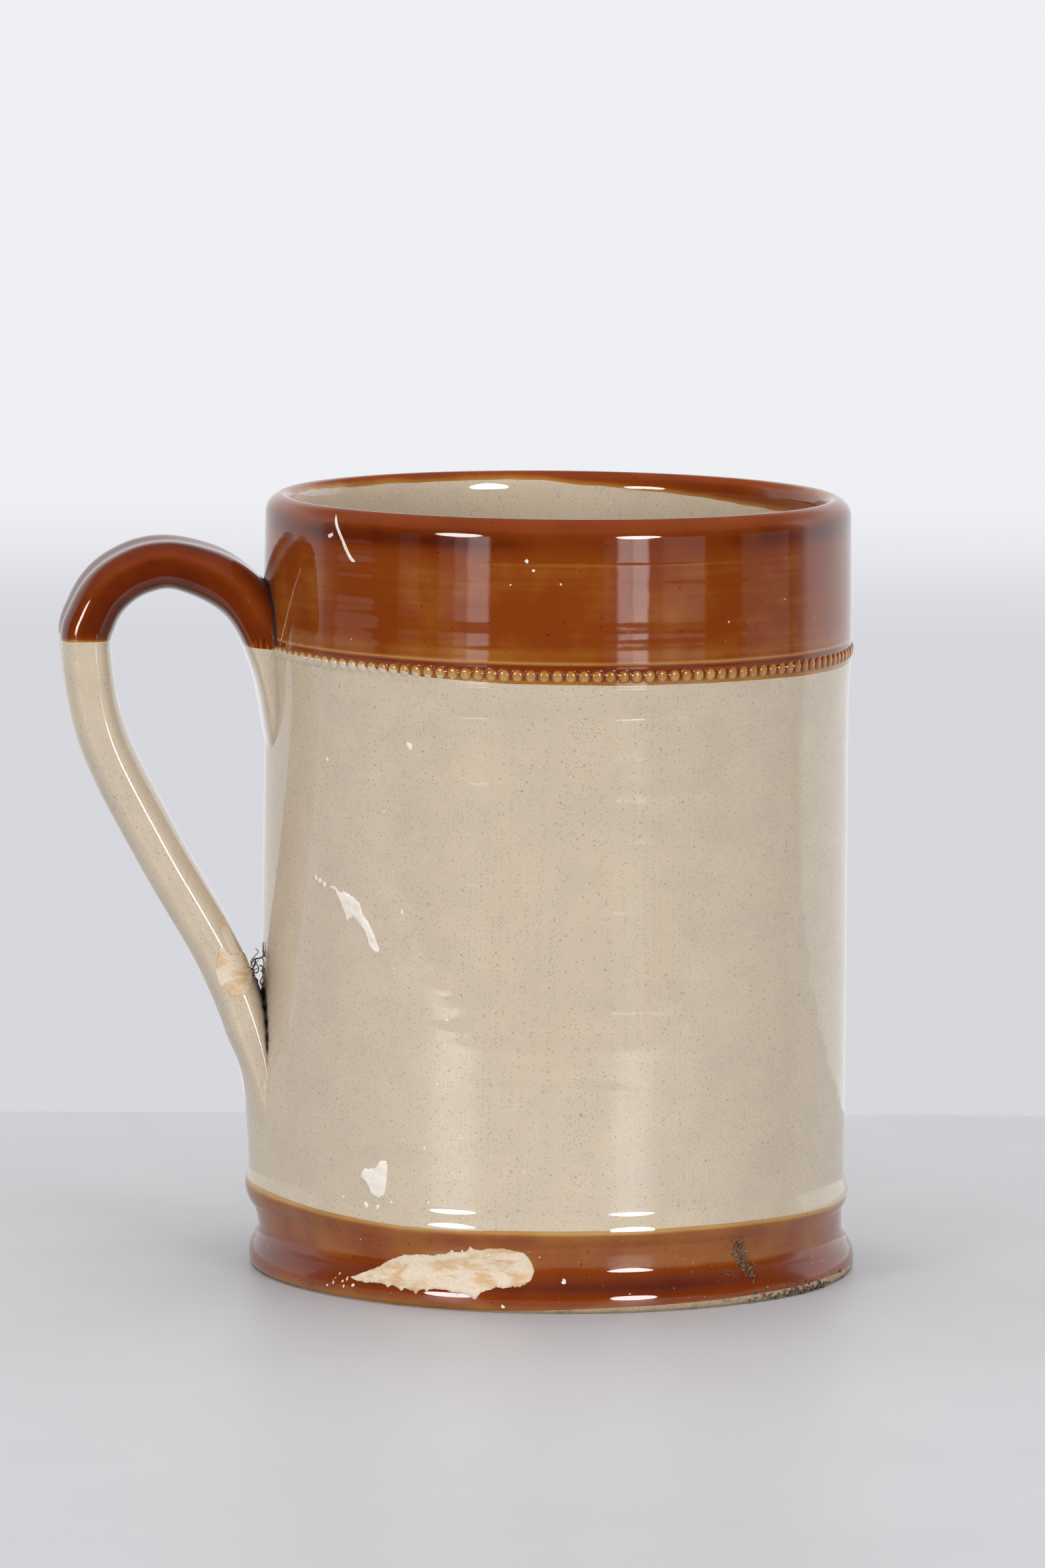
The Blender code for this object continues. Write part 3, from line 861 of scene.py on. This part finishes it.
def strap_share(points, faces, marks, keep_above, keep=None):
    """The part of the strap above or below the dip line, closed at the cut.

    The cut follows the line where the "above" mark is zero, so the heights are
    swapped for that mark while the plane cuts, and put back afterwards.
    """
    mesh = bmesh.new()
    layers = {name: mesh.verts.layers.float.new(name) for name in marks}
    real = mesh.verts.layers.float.new("real")
    vertices = []
    for index, point in enumerate(points):
        vertex = mesh.verts.new(point)
        for name, layer in layers.items():
            vertex[layer] = marks[name][index]
        vertex[real] = point[2]
        vertex.co.z = marks["above"][index]
        vertices.append(vertex)
    for face in faces:
        mesh.faces.new([vertices[index] for index in face])
    everything = [*mesh.verts, *mesh.edges, *mesh.faces]
    cut = bmesh.ops.bisect_plane(
        mesh, geom=everything, dist=0.0001 * MM, plane_co=(0, 0, 0), plane_no=(0, 0, 1),
        clear_inner=keep_above, clear_outer=not keep_above,
    )
    rim = [item for item in cut["geom_cut"] if isinstance(item, bmesh.types.BMEdge)]
    bmesh.ops.edgeloop_fill(mesh, edges=rim)
    for vertex in mesh.verts:
        vertex.co.z = vertex[real]
    if keep:
        unwanted = [vertex for vertex in mesh.verts if not keep(vertex.co)]
        bmesh.ops.delete(mesh, geom=unwanted, context="VERTS")
    bmesh.ops.recalc_face_normals(mesh, faces=mesh.faces)
    kept_points, kept_faces = mesh_parts(mesh)
    kept_marks = {
        name: [vertex[layer] for vertex in mesh.verts]
        for name, layer in layers.items() if name != "above"
    }
    mesh.free()
    kept_marks["brown"] = [1.0 if keep_above else 0.0] * len(kept_points)
    return kept_points, kept_faces, kept_marks


ROOT_REACH = -0.0604
ROOT_BOTTOM = 0.077


def handle_pieces(glaze, points, faces, marks):
    def in_root(place):
        return place.x > ROOT_REACH and place.z > ROOT_BOTTOM

    shares = [
        ("handle_arch_glaze", True, None, "brown_glaze", ["handle_dip_glaze"]),
        ("handle_limb_cream", False, lambda place: not in_root(place), "cream_glaze",
         ["handle_limb_glaze", "pulled_handle", "lower_lute"]),
        ("handle_root_cream", False, in_root, "cream_glaze", ["root_fillet_glaze", "upper_lute"]),
    ]
    for name, keep_above, keep, slot, replaced in shares:
        share = strap_share(points, faces, marks, keep_above, keep)
        make_piece(name, *share[:2], glaze, slot, replaced, share[2])


def root_tree(points):
    """A search tree of the strap's surface points near the wall, for the creases."""
    gap = np.hypot(points[:, 0], points[:, 1]) - wall_radius(points)
    near = points[(np.abs(gap) < 0.5 * MM) & (points[:, 2] > 32 * MM)]
    tree = KDTree(len(near))
    for index, point in enumerate(near):
        tree.insert(point, index)
    tree.balance()
    return tree


# ---------------------------------------------------------------- what has dried on the mug
DEGREE = math.radians(1) * 45.2   # millimetres round the wall in a degree


def on_body(along, level, lift):
    """Points on the outside, from degrees round the mug and a height in millimetres."""
    angle, height = np.radians(along), np.asarray(level) * MM
    return profile_points(outside_at(height), angle, outside_relief(angle, height) + lift)


def on_strap(points, faces):
    """The same for the handle's near side, from x and z in millimetres."""
    tree = BVHTree.FromPolygons([Vector(point) for point in points], faces)

    def place(along, level, lift):
        placed = np.zeros((*np.shape(along), 3))
        for index in np.ndindex(np.shape(along)):
            start = Vector((along[index] * MM, -0.03, level[index] * MM))
            spot, normal, _, _ = tree.ray_cast(start, Vector((0, 1, 0)))
            placed[index] = (start if spot is None else spot + normal * lift[index])
        return placed

    return place


def ragged(along, seed, size, scale):
    """Random roughness along an edge: broad lobes with finer chips on them."""
    value = [
        noise.noise((at / scale, seed, 0)) + 0.55 * noise.noise((at / scale * 3.1, seed, 4))
        + 0.35 * noise.noise((at / scale * 8.7, seed, 9)) for at in along
    ]
    return size * np.array(value)


SMEAR_EDGE_STEPS = 12
SMEAR_SPACING = 0.10         # millimetres from column to column
SMEAR_FRONT_ROWS = 25
SMEAR_BACK_ROWS = 7
SMEAR_FADE = 1.2             # millimetres from either end over which it calms and thins
SMEAR_SUNK = 0.12 * MM       # how far its back lies under the surface


def smear(name, edges, place, scale, material, replaced, seed,
          thickness=0.22, rough=0.35, spikes=(), lumps=0.5):
    """A dried deposit between an upper and a lower edge, given from left to right.

    Scale is the millimetres in one unit along the edges.  A spike is a place, a
    width and a height, which is negative where it hangs from the lower edge.
    """
    high_edge, low_edge = (smooth_curve(edge, SMEAR_EDGE_STEPS) for edge in edges)
    start = max(high_edge[0, 0], low_edge[0, 0])
    end = min(high_edge[-1, 0], low_edge[-1, 0])
    along = np.linspace(start, end, round((end - start) * scale / SMEAR_SPACING))
    high = np.interp(along, *high_edge.T)
    low = np.interp(along, *low_edge.T)
    calm = np.clip(np.minimum(along - start, end - along) * scale / SMEAR_FADE, 0, 1)
    high = high + calm * ragged(along * scale, seed, rough, 1.6)
    low = low + calm * ragged(along * scale, seed + 20, rough, 1.1)
    for at, width, height in spikes:
        bump = height * bell(along, at, width)
        high, low = (high + bump, low) if height > 0 else (high, low + bump)
    middle = (high + low) / 2
    half = np.maximum(high - low, 0.06) / 2
    front, back = np.linspace(-1, 1, SMEAR_FRONT_ROWS), np.linspace(1, -1, SMEAR_BACK_ROWS)
    share = np.concatenate([front, back])[:, None]
    level = middle + half * share
    dome = np.sqrt(np.clip(1 - np.abs(share) ** 5, 0, 1)) * np.minimum(1, half / 0.6) * calm ** 0.4
    uneven = np.array([
        [noise.noise((at * scale / 1.7, up / 1.1, seed)) for at, up in zip(along, row)]
        for row in level
    ])
    lift = thickness * MM * dome * (0.75 + lumps * uneven)
    lift[len(front):] = -SMEAR_SUNK
    grid = place(np.broadcast_to(along, level.shape), level, lift)
    rows, columns = level.shape
    faces = grid_faces(rows, columns, closed_rows=True, closed_columns=False)
    faces.append(tuple(row * columns for row in reversed(range(rows))))
    faces.append(tuple(row * columns + columns - 1 for row in range(rows)))
    return make_piece(name, grid.reshape(-1, 3), faces, material, "dry_filler", replaced)


def smear_pieces(material, white, place_on_strap):
    smear(
        "foot_filler", [
            [(-135.8, 3.5), (-133, 4.3), (-130.2, 5.4), (-127, 6.9), (-122.9, 7.7), (-118, 8.0),
             (-114.4, 8.5), (-109.5, 9.2), (-106.4, 9.5), (-103, 9.4), (-100.6, 8.9),
             (-99.2, 7.9), (-98.4, 6.4)],
            [(-135.8, 3.3), (-133, 2.9), (-129.3, 3.1), (-126, 3.0), (-121.6, 2.7), (-117, 3.1),
             (-113.7, 2.9), (-109.8, 2.6), (-106.2, 3.6), (-102.5, 3.9), (-100.4, 4.2),
             (-99.0, 4.9), (-98.4, 6.2)],
        ], on_body, DEGREE, material, ["foot_filler_smear"], 1, 0.38, 0.22, lumps=0.18, spikes=[
            (-110.9, 0.35, 0.5), (-114.7, 0.4, 0.4), (-112.5, 0.22, 0.5), (-124.0, 0.5, -0.5),
            (-120.9, 0.45, -0.7), (-118.8, 0.3, -0.5), (-126.9, 0.5, -0.4), (-109.3, 0.7, -0.8),
        ],
    )
    smear(
        "wall_filler", [
            [(-144.2, 62.6), (-142.6, 62.4), (-141.2, 61.9), (-139.5, 62.0), (-137.0, 60.9),
             (-134.8, 59.0), (-133.2, 57.0), (-131.9, 55.4), (-131.0, 54.0)],
            [(-144.2, 62.4), (-142.6, 61.9), (-141.2, 60.6), (-139.5, 58.6), (-137.0, 57.9),
             (-134.8, 56.6), (-133.2, 54.4), (-131.9, 53.3), (-131.0, 53.7)],
        ], on_body, DEGREE, white, ["wall_filler_streak"], 3, rough=0.5,
        spikes=[(-139.2, 0.3, -0.8), (-136.1, 0.3, 0.4)],
    )
    smear(
        "low_wall_filler", [
            [(-135.0, 18.9), (-134.2, 20.0), (-133.0, 20.2), (-131.4, 20.4), (-130.2, 21.5),
             (-128.9, 21.7), (-128.6, 20.8)],
            [(-135.0, 18.7), (-134.2, 18.4), (-133.0, 17.5), (-132.2, 16.2), (-130.2, 16.0),
             (-129.0, 17.2), (-128.6, 20.6)],
        ], on_body, DEGREE, white, ["low_wall_filler_flake"], 5,
    )
    smear(
        "handle_filler", [
            [(-53.0, 47.2), (-52.4, 50.8), (-51.4, 50.0), (-50.4, 49.2), (-49.2, 49.8),
             (-48.2, 48.6), (-47.4, 46.2)],
            [(-53.0, 46.9), (-52.4, 45.2), (-51.4, 44.3), (-50.4, 43.4), (-49.2, 43.5),
             (-48.2, 43.9), (-47.4, 46.0)],
        ], place_on_strap, 1.0, material, ["handle_filler_smear"], 8, 0.30, 0.5,
    )
    smear(
        "handle_filler_drip", [
            [(-52.6, 55.6), (-51.8, 55.2), (-50.8, 52.9), (-49.6, 50.3), (-48.7, 48.6)],
            [(-52.6, 55.3), (-52.0, 52.8), (-51.2, 50.8), (-50.0, 48.6), (-48.7, 47.8)],
        ], place_on_strap, 1.0, material, [], 9, rough=0.25,
    )


def blob(place, along, level, size, chance, scale, thickness=0.10):
    """Points and faces of one small irregular fleck."""
    sides, rings = 9, 3
    turns = np.linspace(0, math.tau, sides, endpoint=False)
    reach = size * chance.uniform(0.6, 1.25, sides)
    stretch, slant = chance.uniform(0.45, 1.0), chance.uniform(0, math.pi)
    wide, tall = reach * np.cos(turns), reach * np.sin(turns) * stretch
    right = wide * math.cos(slant) - tall * math.sin(slant)
    up = wide * math.sin(slant) + tall * math.cos(slant)
    shares = np.array([1.0, 0.85, 0.45, 0.0])[:, None]
    lift = np.array([-0.06, 0.7, 1.0, 1.1])[:, None] * thickness * MM + 0 * turns
    grid = place(along + right / scale * shares, level + up * shares, lift).reshape(-1, 3)
    keep = rings * sides
    points = np.concatenate([grid[:keep + 1], grid[:sides].mean(axis=0)[None]])
    faces = grid_faces(rings, sides)
    for side in range(sides):
        after = (side + 1) % sides
        faces.append(((rings - 1) * sides + side, (rings - 1) * sides + after, keep))
        faces.append((after, side, keep + 1))
    return points, faces


def joined(parts):
    """One list of points and faces from many."""
    points, faces = [], []
    for part_points, part_faces in parts:
        base = sum(len(group) for group in points)
        points.append(np.asarray(part_points))
        faces += [tuple(base + index for index in face) for face in part_faces]
    return np.concatenate(points), faces


# Flecks that stand out: degrees round the mug, height and size in millimetres
FLECKS = [
    (-124.5, 85.2, 0.62), (-125.8, 59.9, 0.42), (-127.4, 51.2, 0.26), (-145.5, 81.8, 0.34),
    (-130.2, 74.9, 0.28), (-148.6, 63.5, 0.5), (-147.2, 63.1, 0.5), (-145.9, 62.7, 0.42),
    (-92.7, 4.8, 0.46), (-133.4, 14.6, 0.50), (-130.6, 14.5, 0.44), (-127.5, 15.4, 0.28),
    (-119.5, 15.9, 0.24), (-139.5, 15.2, 0.22), (-120.4, 24.2, 0.22), (-116.0, 44.0, 0.30),
    (-117.8, 34.1, 0.24), (-137.6, 2.6, 0.30), (-138.8, 3.6, 0.22), (-104.0, 1.0, 0.36),
    (-101.2, 113.8, 0.34), (-136.6, 3.1, 0.34), (-137.2, 1.9, 0.26), (-139.9, 2.2, 0.30),
    (-141.5, 1.6, 0.22), (-134.9, 2.3, 0.30), (-99.9, 112.4, 0.26), (-104.2, 110.2, 0.20),
    (-94.6, 110.4, 0.24), (-46.0, 107.0, 0.18), (-60.6, 104.2, 0.18), (-112.9, 26.0, 0.20),
    (-100.5, 21.3, 0.18), (-144.7, 116.0, 0.62),
]
SMALL_FLECKS = 110


def fleck_pieces(material):
    chance = np.random.default_rng(41)
    parts = [blob(on_body, along, level, size, chance, DEGREE) for along, level, size in FLECKS]
    for _ in range(SMALL_FLECKS):
        low = chance.random() < 0.45
        along = chance.uniform(-178, 178) if chance.random() < 0.45 else chance.uniform(-150, -30)
        level = chance.uniform(1.5, 11) if low else chance.uniform(14, 114)
        size = chance.uniform(0.05, 0.13)
        parts.append(blob(on_body, along, level, size, chance, DEGREE, 0.06))
    make_piece("filler_flecks", *joined(parts), material, "dry_filler")
    streak = [
        [(-144.4, 119.1), (-143.4, 118.4), (-142.0, 116.8), (-140.4, 114.9), (-138.9, 113.3),
         (-137.8, 112.5)],
        [(-144.4, 119.0), (-143.4, 117.6), (-142.0, 115.9), (-140.4, 113.9), (-138.9, 112.5),
         (-137.8, 112.3)],
    ]
    smear("rim_filler_streak", streak, on_body, DEGREE, material, [], 12, 0.16, 0.10)


def crumb(place, along, level, size, chance):
    """A lumpy grain of dirt that sits half sunk on the surface."""
    mesh = bmesh.new()
    bmesh.ops.create_icosphere(mesh, subdivisions=2, radius=size * MM)
    centre = Vector(place(np.array(along), np.array(level), np.array(0.25 * size * MM)))
    squash = Vector(chance.uniform(0.55, 1.2, 3))
    offset = Vector(chance.uniform(-50, 50, 3))
    for vertex in mesh.verts:
        lump = 1 + 0.55 * noise.noise(vertex.co / (0.8 * size * MM) + offset)
        vertex.co = vertex.co * squash * lump + centre
    parts = mesh_parts(mesh)
    mesh.free()
    return parts


def fibre(route, thickness):
    """A thin tube with closed ends along a route of points in metres."""
    line = smooth_curve(np.array(route), 6)
    sides = 6
    run = np.gradient(line, axis=0)
    run /= np.linalg.norm(run, axis=1)[:, None]
    side = np.cross(run, (0.31, 0.52, 0.80))
    side /= np.linalg.norm(side, axis=1)[:, None]
    other = np.cross(run, side)
    taper = np.sin(np.linspace(0.25, math.pi - 0.25, len(line)))[:, None, None] ** 0.5
    turns = np.linspace(0, math.tau, sides, endpoint=False)[None, :, None]
    ring = (side[:, None] * np.cos(turns) + other[:, None] * np.sin(turns)) * thickness / 2 * taper
    points = (line[:, None] + ring).reshape(-1, 3)
    return points, tube_faces(len(line), sides)


# How many grains lie in the scrap above the edge, along the edge and round the foot
LINT_GRIT, EDGE_GRIT, LOOSE_GRIT = 120, 130, 26
FOOT_THREADS = 9
CROTCH_THREADS = 13


def dirt_pieces(material):
    """Grit by the resting edge, and the scrap of matted fibre above it."""
    chance = np.random.default_rng(17)
    parts = []

    def drop(along, level, low, high):
        parts.append(crumb(on_body, along, level, chance.uniform(low, high), chance))

    for _ in range(LINT_GRIT):
        share = 0.5 + np.clip(chance.normal(0, 0.22), -0.5, 0.5)
        along = -57.0 + 3.5 * share + chance.normal(0, 0.75)
        drop(along, max(10.4 - 7.2 * share + chance.normal(0, 0.5), 1.2), 0.08, 0.30)
    for _ in range(EDGE_GRIT):
        along = chance.normal(-42, 6)
        drop(along, abs(chance.normal(0, 0.75)) + 0.25, 0.08, 0.32)
    for _ in range(LOOSE_GRIT):
        along = chance.uniform(-150, -30)
        drop(along, chance.uniform(0.4, 4.5), 0.05, 0.11)
    for _ in range(FOOT_THREADS):
        along, level = chance.normal(-55.5, 1.0), chance.uniform(3.5, 9.5)
        heading = chance.uniform(0, math.pi)
        route = []
        for _ in range(5):
            lift = chance.uniform(0.05, 0.5) * MM
            route.append(on_body(np.array(along), np.array(max(level, 0.8)), np.array(lift)))
            heading += chance.normal(0, 0.7)
            along, level = along + math.cos(heading) * 0.9, level + math.sin(heading) * 0.7
        parts.append(fibre(route, chance.uniform(0.06, 0.14) * MM))
    make_piece("foot_grit", *joined(parts), material, "dry_filler")


def crotch_lint(material):
    """A few curled threads of dust caught between the handle and the wall."""
    chance = np.random.default_rng(23)
    parts = []
    for _ in range(CROTCH_THREADS):
        spot = np.array([-46.9, -6.5, 47.2]) + chance.normal(0, 1, 3) * (0.8, 1.8, 1.2)
        heading = chance.normal(0, 1, 3)
        route = []
        for _ in range(7):
            route.append(spot * MM)
            heading = heading + chance.normal(0, 0.9, 3)
            heading /= np.linalg.norm(heading)
            spot = spot + heading * (0.8, 0.9, 0.8)
            spot[0] = np.clip(spot[0], -49.3, -45.4)
            spot[2] = np.clip(spot[2], 43.5, 51.0)
        parts.append(fibre(route, chance.uniform(0.16, 0.30) * MM))
    make_piece("crotch_lint", *joined(parts), material, "dry_filler")


# ---------------------------------------------------------------- studio
VIEW_DISTANCE = 1.440
VIEW_HEIGHT = 0.2470
VIEW_ASIDE = 0.00515
VIEW_PITCH = math.radians(6.816)
VIEW_ROLL = math.radians(0.55)
FOCAL_LENGTH = 215.05        # in millimetres, like the sensor's width
SENSOR_WIDTH = 36
TABLE_LOW = (-1.5, -0.282, -0.03)   # the wall mirrors its front edge about 35 mm up
TABLE_HIGH = (1.5, 0.152, 0.0)
TABLE_SKEW = math.radians(2.1)
GROUND_LOW = (-40, -40, -0.80)
GROUND_HIGH = (40, 40, -0.75)
SOFTBOX_DISTANCE = 2.4
CEILING_LEVEL = 1.6
CEILING_SIZE = 2.4
CEILING_BRIGHTNESS = 2.22


def make_camera():
    """The viewer's place: far off with a long lens, a little above the mug."""
    camera = add_object("camera", bpy.data.cameras.new("camera"))
    heading = Matrix.Rotation(CAMERA_AZIMUTH, 4, "Z")
    tilt = Matrix.Rotation(math.pi / 2 - VIEW_PITCH, 4, "X") @ Matrix.Rotation(VIEW_ROLL, 4, "Z")
    place = Matrix.Translation((-VIEW_ASIDE, -VIEW_DISTANCE, VIEW_HEIGHT))
    camera.matrix_world = heading @ place @ tilt
    camera.data.sensor_width = SENSOR_WIDTH
    camera.data.lens = FOCAL_LENGTH
    camera.data.clip_start = 0.1
    camera.data.clip_end = 100
    bpy.context.scene.camera = camera


def softbox(name, azimuth, levels, width, brightness):
    """An elliptical lamp that faces the mug; its levels and width are in degrees.

    Brightness is its radiance, so its look in the glaze doesn't change with its size.
    """
    low, high = (SOFTBOX_DISTANCE * math.tan(math.radians(level)) for level in levels)
    tilt = math.radians(sum(levels) / 2)
    azimuth = math.radians(azimuth)
    light = bpy.data.lights.new(name, "AREA")
    light.shape = "ELLIPSE"
    light.size = 2 * SOFTBOX_DISTANCE * math.tan(math.radians(width / 2))
    light.size_y = (high - low) * math.cos(tilt)
    light.energy = brightness * math.pi * (math.pi / 4 * light.size * light.size_y)
    lamp = add_object(name, light)
    toward = Vector((math.sin(azimuth), -math.cos(azimuth), 0))
    lamp.location = toward * SOFTBOX_DISTANCE + Vector((0, 0, HEIGHT / 2 + (low + high) / 2))
    away = toward * math.cos(tilt) + Vector((0, 0, math.sin(tilt)))
    lamp.rotation_mode = "QUATERNION"
    lamp.rotation_quaternion = away.to_track_quat("Z", "Y")
    lamp.visible_camera = False


def make_lights():
    """Two softboxes in front, a little above the mug, and the ceiling's glow."""
    softbox("softbox_left", -44, (0.5, 17), 19, 17.8)
    softbox("softbox_right", 26, (0, 15.5), 18, 18.8)
    light = bpy.data.lights.new("ceiling", "AREA")
    light.size = CEILING_SIZE
    light.energy = CEILING_BRIGHTNESS * math.pi * CEILING_SIZE ** 2
    ceiling = add_object("ceiling", light)
    ceiling.location = (0, 0, CEILING_LEVEL)
    ceiling.visible_camera = False
    ceiling.visible_glossy = False


def slab(name, low, high, material):
    mesh = bmesh.new()
    bmesh.ops.create_cube(mesh, size=1.0)
    size = Vector(high) - Vector(low)
    for vertex in mesh.verts:
        vertex.co = Vector(low) + Vector((v + 0.5) * s for v, s in zip(vertex.co, size))
    bmesh.ops.bevel(mesh, geom=mesh.edges[:], offset=0.002, segments=3, affect="EDGES")
    data = bpy.data.meshes.new(name)
    mesh.to_mesh(data)
    mesh.free()
    data.materials.append(material)
    item = add_object(name, data)
    return item


def table_material():
    """Satin painted board with faint smears."""
    graph = material_graph("table_top")
    cloud = graph.noise(0.12, detail=4)
    shade = graph.mix(graph.range(cloud, 0.35, 0.7), (0.502, 0.502, 0.521), (0.487, 0.487, 0.505))
    rough = graph.range(graph.noise(0.03, detail=3), 0.35, 0.75, 0.42, 0.48)
    return graph.finish(Base_Color=shade, Roughness=rough)


def backdrop_material():
    """A shadowless pale sweep that glows by itself, with painted shading that brightens it into the
    distance.
    """
    graph = material_graph("backdrop")
    across = graph.new("VectorMath")
    across.operation = "LENGTH"
    graph.feed(across.inputs[0], graph.place)
    # painted shading: the sweep's glow is dimmer nearer than 8.1 m and brighter past 9.9 m
    shade = graph.ramp(
        graph.range(across.outputs["Value"], 8.1, 9.9),
        [(0.0, (0.675, 0.685, 0.725)), (1.0, (0.862, 0.870, 0.902))],
    )
    return graph.finish(
        Base_Color=(0, 0, 0), Specular_IOR_Level=0.0, Emission_Color=shade, Emission_Strength=1.0,
    )


def make_stage():
    table = slab("studio_table", TABLE_LOW, TABLE_HIGH, table_material())
    table.rotation_euler.z = CAMERA_AZIMUTH + TABLE_SKEW
    ground = slab("studio_ground", GROUND_LOW, GROUND_HIGH, backdrop_material())
    ground.visible_glossy = False
    ground.visible_diffuse = False


# The room's colour from straight in front of the mug, at 0, to straight behind it
ROOM_RAMP = [
    (0.00, (0.018, 0.018, 0.020)), (0.52, (0.022, 0.022, 0.024)), (0.58, (0.10, 0.10, 0.105)),
    (0.64, (0.35, 0.35, 0.37)), (0.685, (1.02, 1.03, 1.06)), (1.00, (1.02, 1.03, 1.06)),
]
ROOM_TURN = -0.031           # how far the ramp is turned to one side
BOARD_LEVEL = 0.90           # brightness of the board behind
BOARD_SLOPE = 0.15           # what it gains to the right
ROOM_ABOVE = (0.16, 0.16, 0.17)
ROOM_ABOVE_OVER = (0.30, 0.66)     # sines of the elevations where this takes over

# What stands in the dim room, as azimuth and width in degrees and brightness
GLOWS = [
    (-60.0, 9.0, 0.17), (-44.0, 6.0, 0.30), (-38.0, 5.5, 0.95), (-31.0, 8.5, 2.4),
    (20.3, 5.0, 0.25), (25.8, 5.6, 3.0), (32.0, 6.4, 4.0), (38.5, 5.0, 0.3), (50.0, 18.0, 0.6),
    (89.0, 26.0, 0.30),
]
GLOW_EDGE = 1.6              # degrees over which each one fades at its sides
GLOW_TOP = 4.0               # elevation at which they end above
GLOW_TOP_BLUR = 0.05         # as a sine, to each side
GLOW_GAP = -7.0              # elevation of a dim stretch across them all
GLOW_GAP_EDGE = (0.0310, 0.0350)   # its half width, as sines
GLOW_GAP_SHARE = 0.08
GLOW_GAIN = 1.6              # how much brighter they are under the gap
GLOW_GAIN_DEPTH = 1.2        # degrees under the gap's middle where they are that bright
GLOW_FOOT = (-10.6, -10.2)   # elevations over which they end below


def sine(degrees):
    return math.sin(math.radians(degrees))


def glow_bands(graph, azimuth, level):
    """The brightness that the glows add, by azimuth and by the sine of the elevation."""
    glow = 0.0
    for centre, width, brightness in GLOWS:
        away = graph.math("ABSOLUTE", graph.math("SUBTRACT", azimuth, math.radians(centre)))
        inner, outer = (math.radians(width / 2 + side * GLOW_EDGE) for side in (-0.5, 0.5))
        glow = graph.math("ADD", graph.range(away, inner, outer, brightness, 0.0), glow)
    top, gap = sine(GLOW_TOP), sine(GLOW_GAP)
    from_gap = graph.math("ABSOLUTE", graph.math("SUBTRACT", level, gap))
    for share in (
        graph.range(level, top - GLOW_TOP_BLUR, top + GLOW_TOP_BLUR, 1.0, 0.0),
        graph.range(from_gap, *GLOW_GAP_EDGE, GLOW_GAP_SHARE, 1.0),
        graph.range(level, sine(GLOW_GAP - GLOW_GAIN_DEPTH), gap, GLOW_GAIN, 1.0),
        graph.range(level, *map(sine, GLOW_FOOT)),
    ):
        glow = graph.times(glow, share)
    return glow


def make_world():
    """A dim room in front of the mug, with a white board behind it and to its sides."""
    world = bpy.data.worlds.new("studio")
    bpy.context.scene.world = world
    graph = Graph(world)
    every_way = graph.new("TexCoord").outputs["Generated"]
    turn = graph.new("Mapping", Rotation=(0, 0, -CAMERA_AZIMUTH), Vector=every_way)
    aside, back, level = graph.new("SeparateXYZ", Vector=turn.outputs["Vector"]).outputs
    flat = graph.math("SQRT", graph.math("SUBTRACT", 1.0, graph.times(level, level)))
    sideways = graph.math("DIVIDE", aside, flat)
    behind = graph.math("ADD", graph.math("DIVIDE", back, flat), 1.0)
    behind = graph.math("ADD", graph.times(behind, 0.5), graph.times(sideways, ROOM_TURN))
    shade = graph.ramp(behind, ROOM_RAMP)
    board = graph.math("ADD", BOARD_LEVEL, graph.times(sideways, BOARD_SLOPE))
    shade = graph.mix(1.0, shade, board, "MULTIPLY")
    shade = graph.mix(graph.range(level, *ROOM_ABOVE_OVER), shade, ROOM_ABOVE)
    azimuth = graph.math("ARCTAN2", aside, graph.times(back, -1.0))
    shade = graph.mix(1.0, shade, glow_bands(graph, azimuth, level), "ADD")
    graph.feed(graph.tree.nodes["Background"].inputs["Color"], shade)


def main():
    make_camera()
    make_world()
    make_stage()
    make_lights()
    bpy.context.scene.view_settings.view_transform = "Standard"

    glaze = glaze_material("stoneware_glaze", 0.045)
    clay = clay_material("bare_stoneware", (0.50, 0.385, 0.25), (0.38, 0.28, 0.175))
    filler = filler_material("dried_filler", (0.64, 0.525, 0.395), (0.715, 0.615, 0.485), 0.9)
    white = filler_material("white_filler", (0.78, 0.715, 0.63), (0.84, 0.79, 0.72), 0.25)

    points, faces, marks = strap_mesh()
    body_pieces(glaze, clay, root_tree(points))
    handle_pieces(glaze, points, faces, marks)
    smear_pieces(filler, white, on_strap(points, faces))
    fleck_pieces(white)
    dirt_and_shade = dirt_material("foot_dirt")
    dirt_pieces(dirt_and_shade)
    crotch_lint(dirt_and_shade)


main()
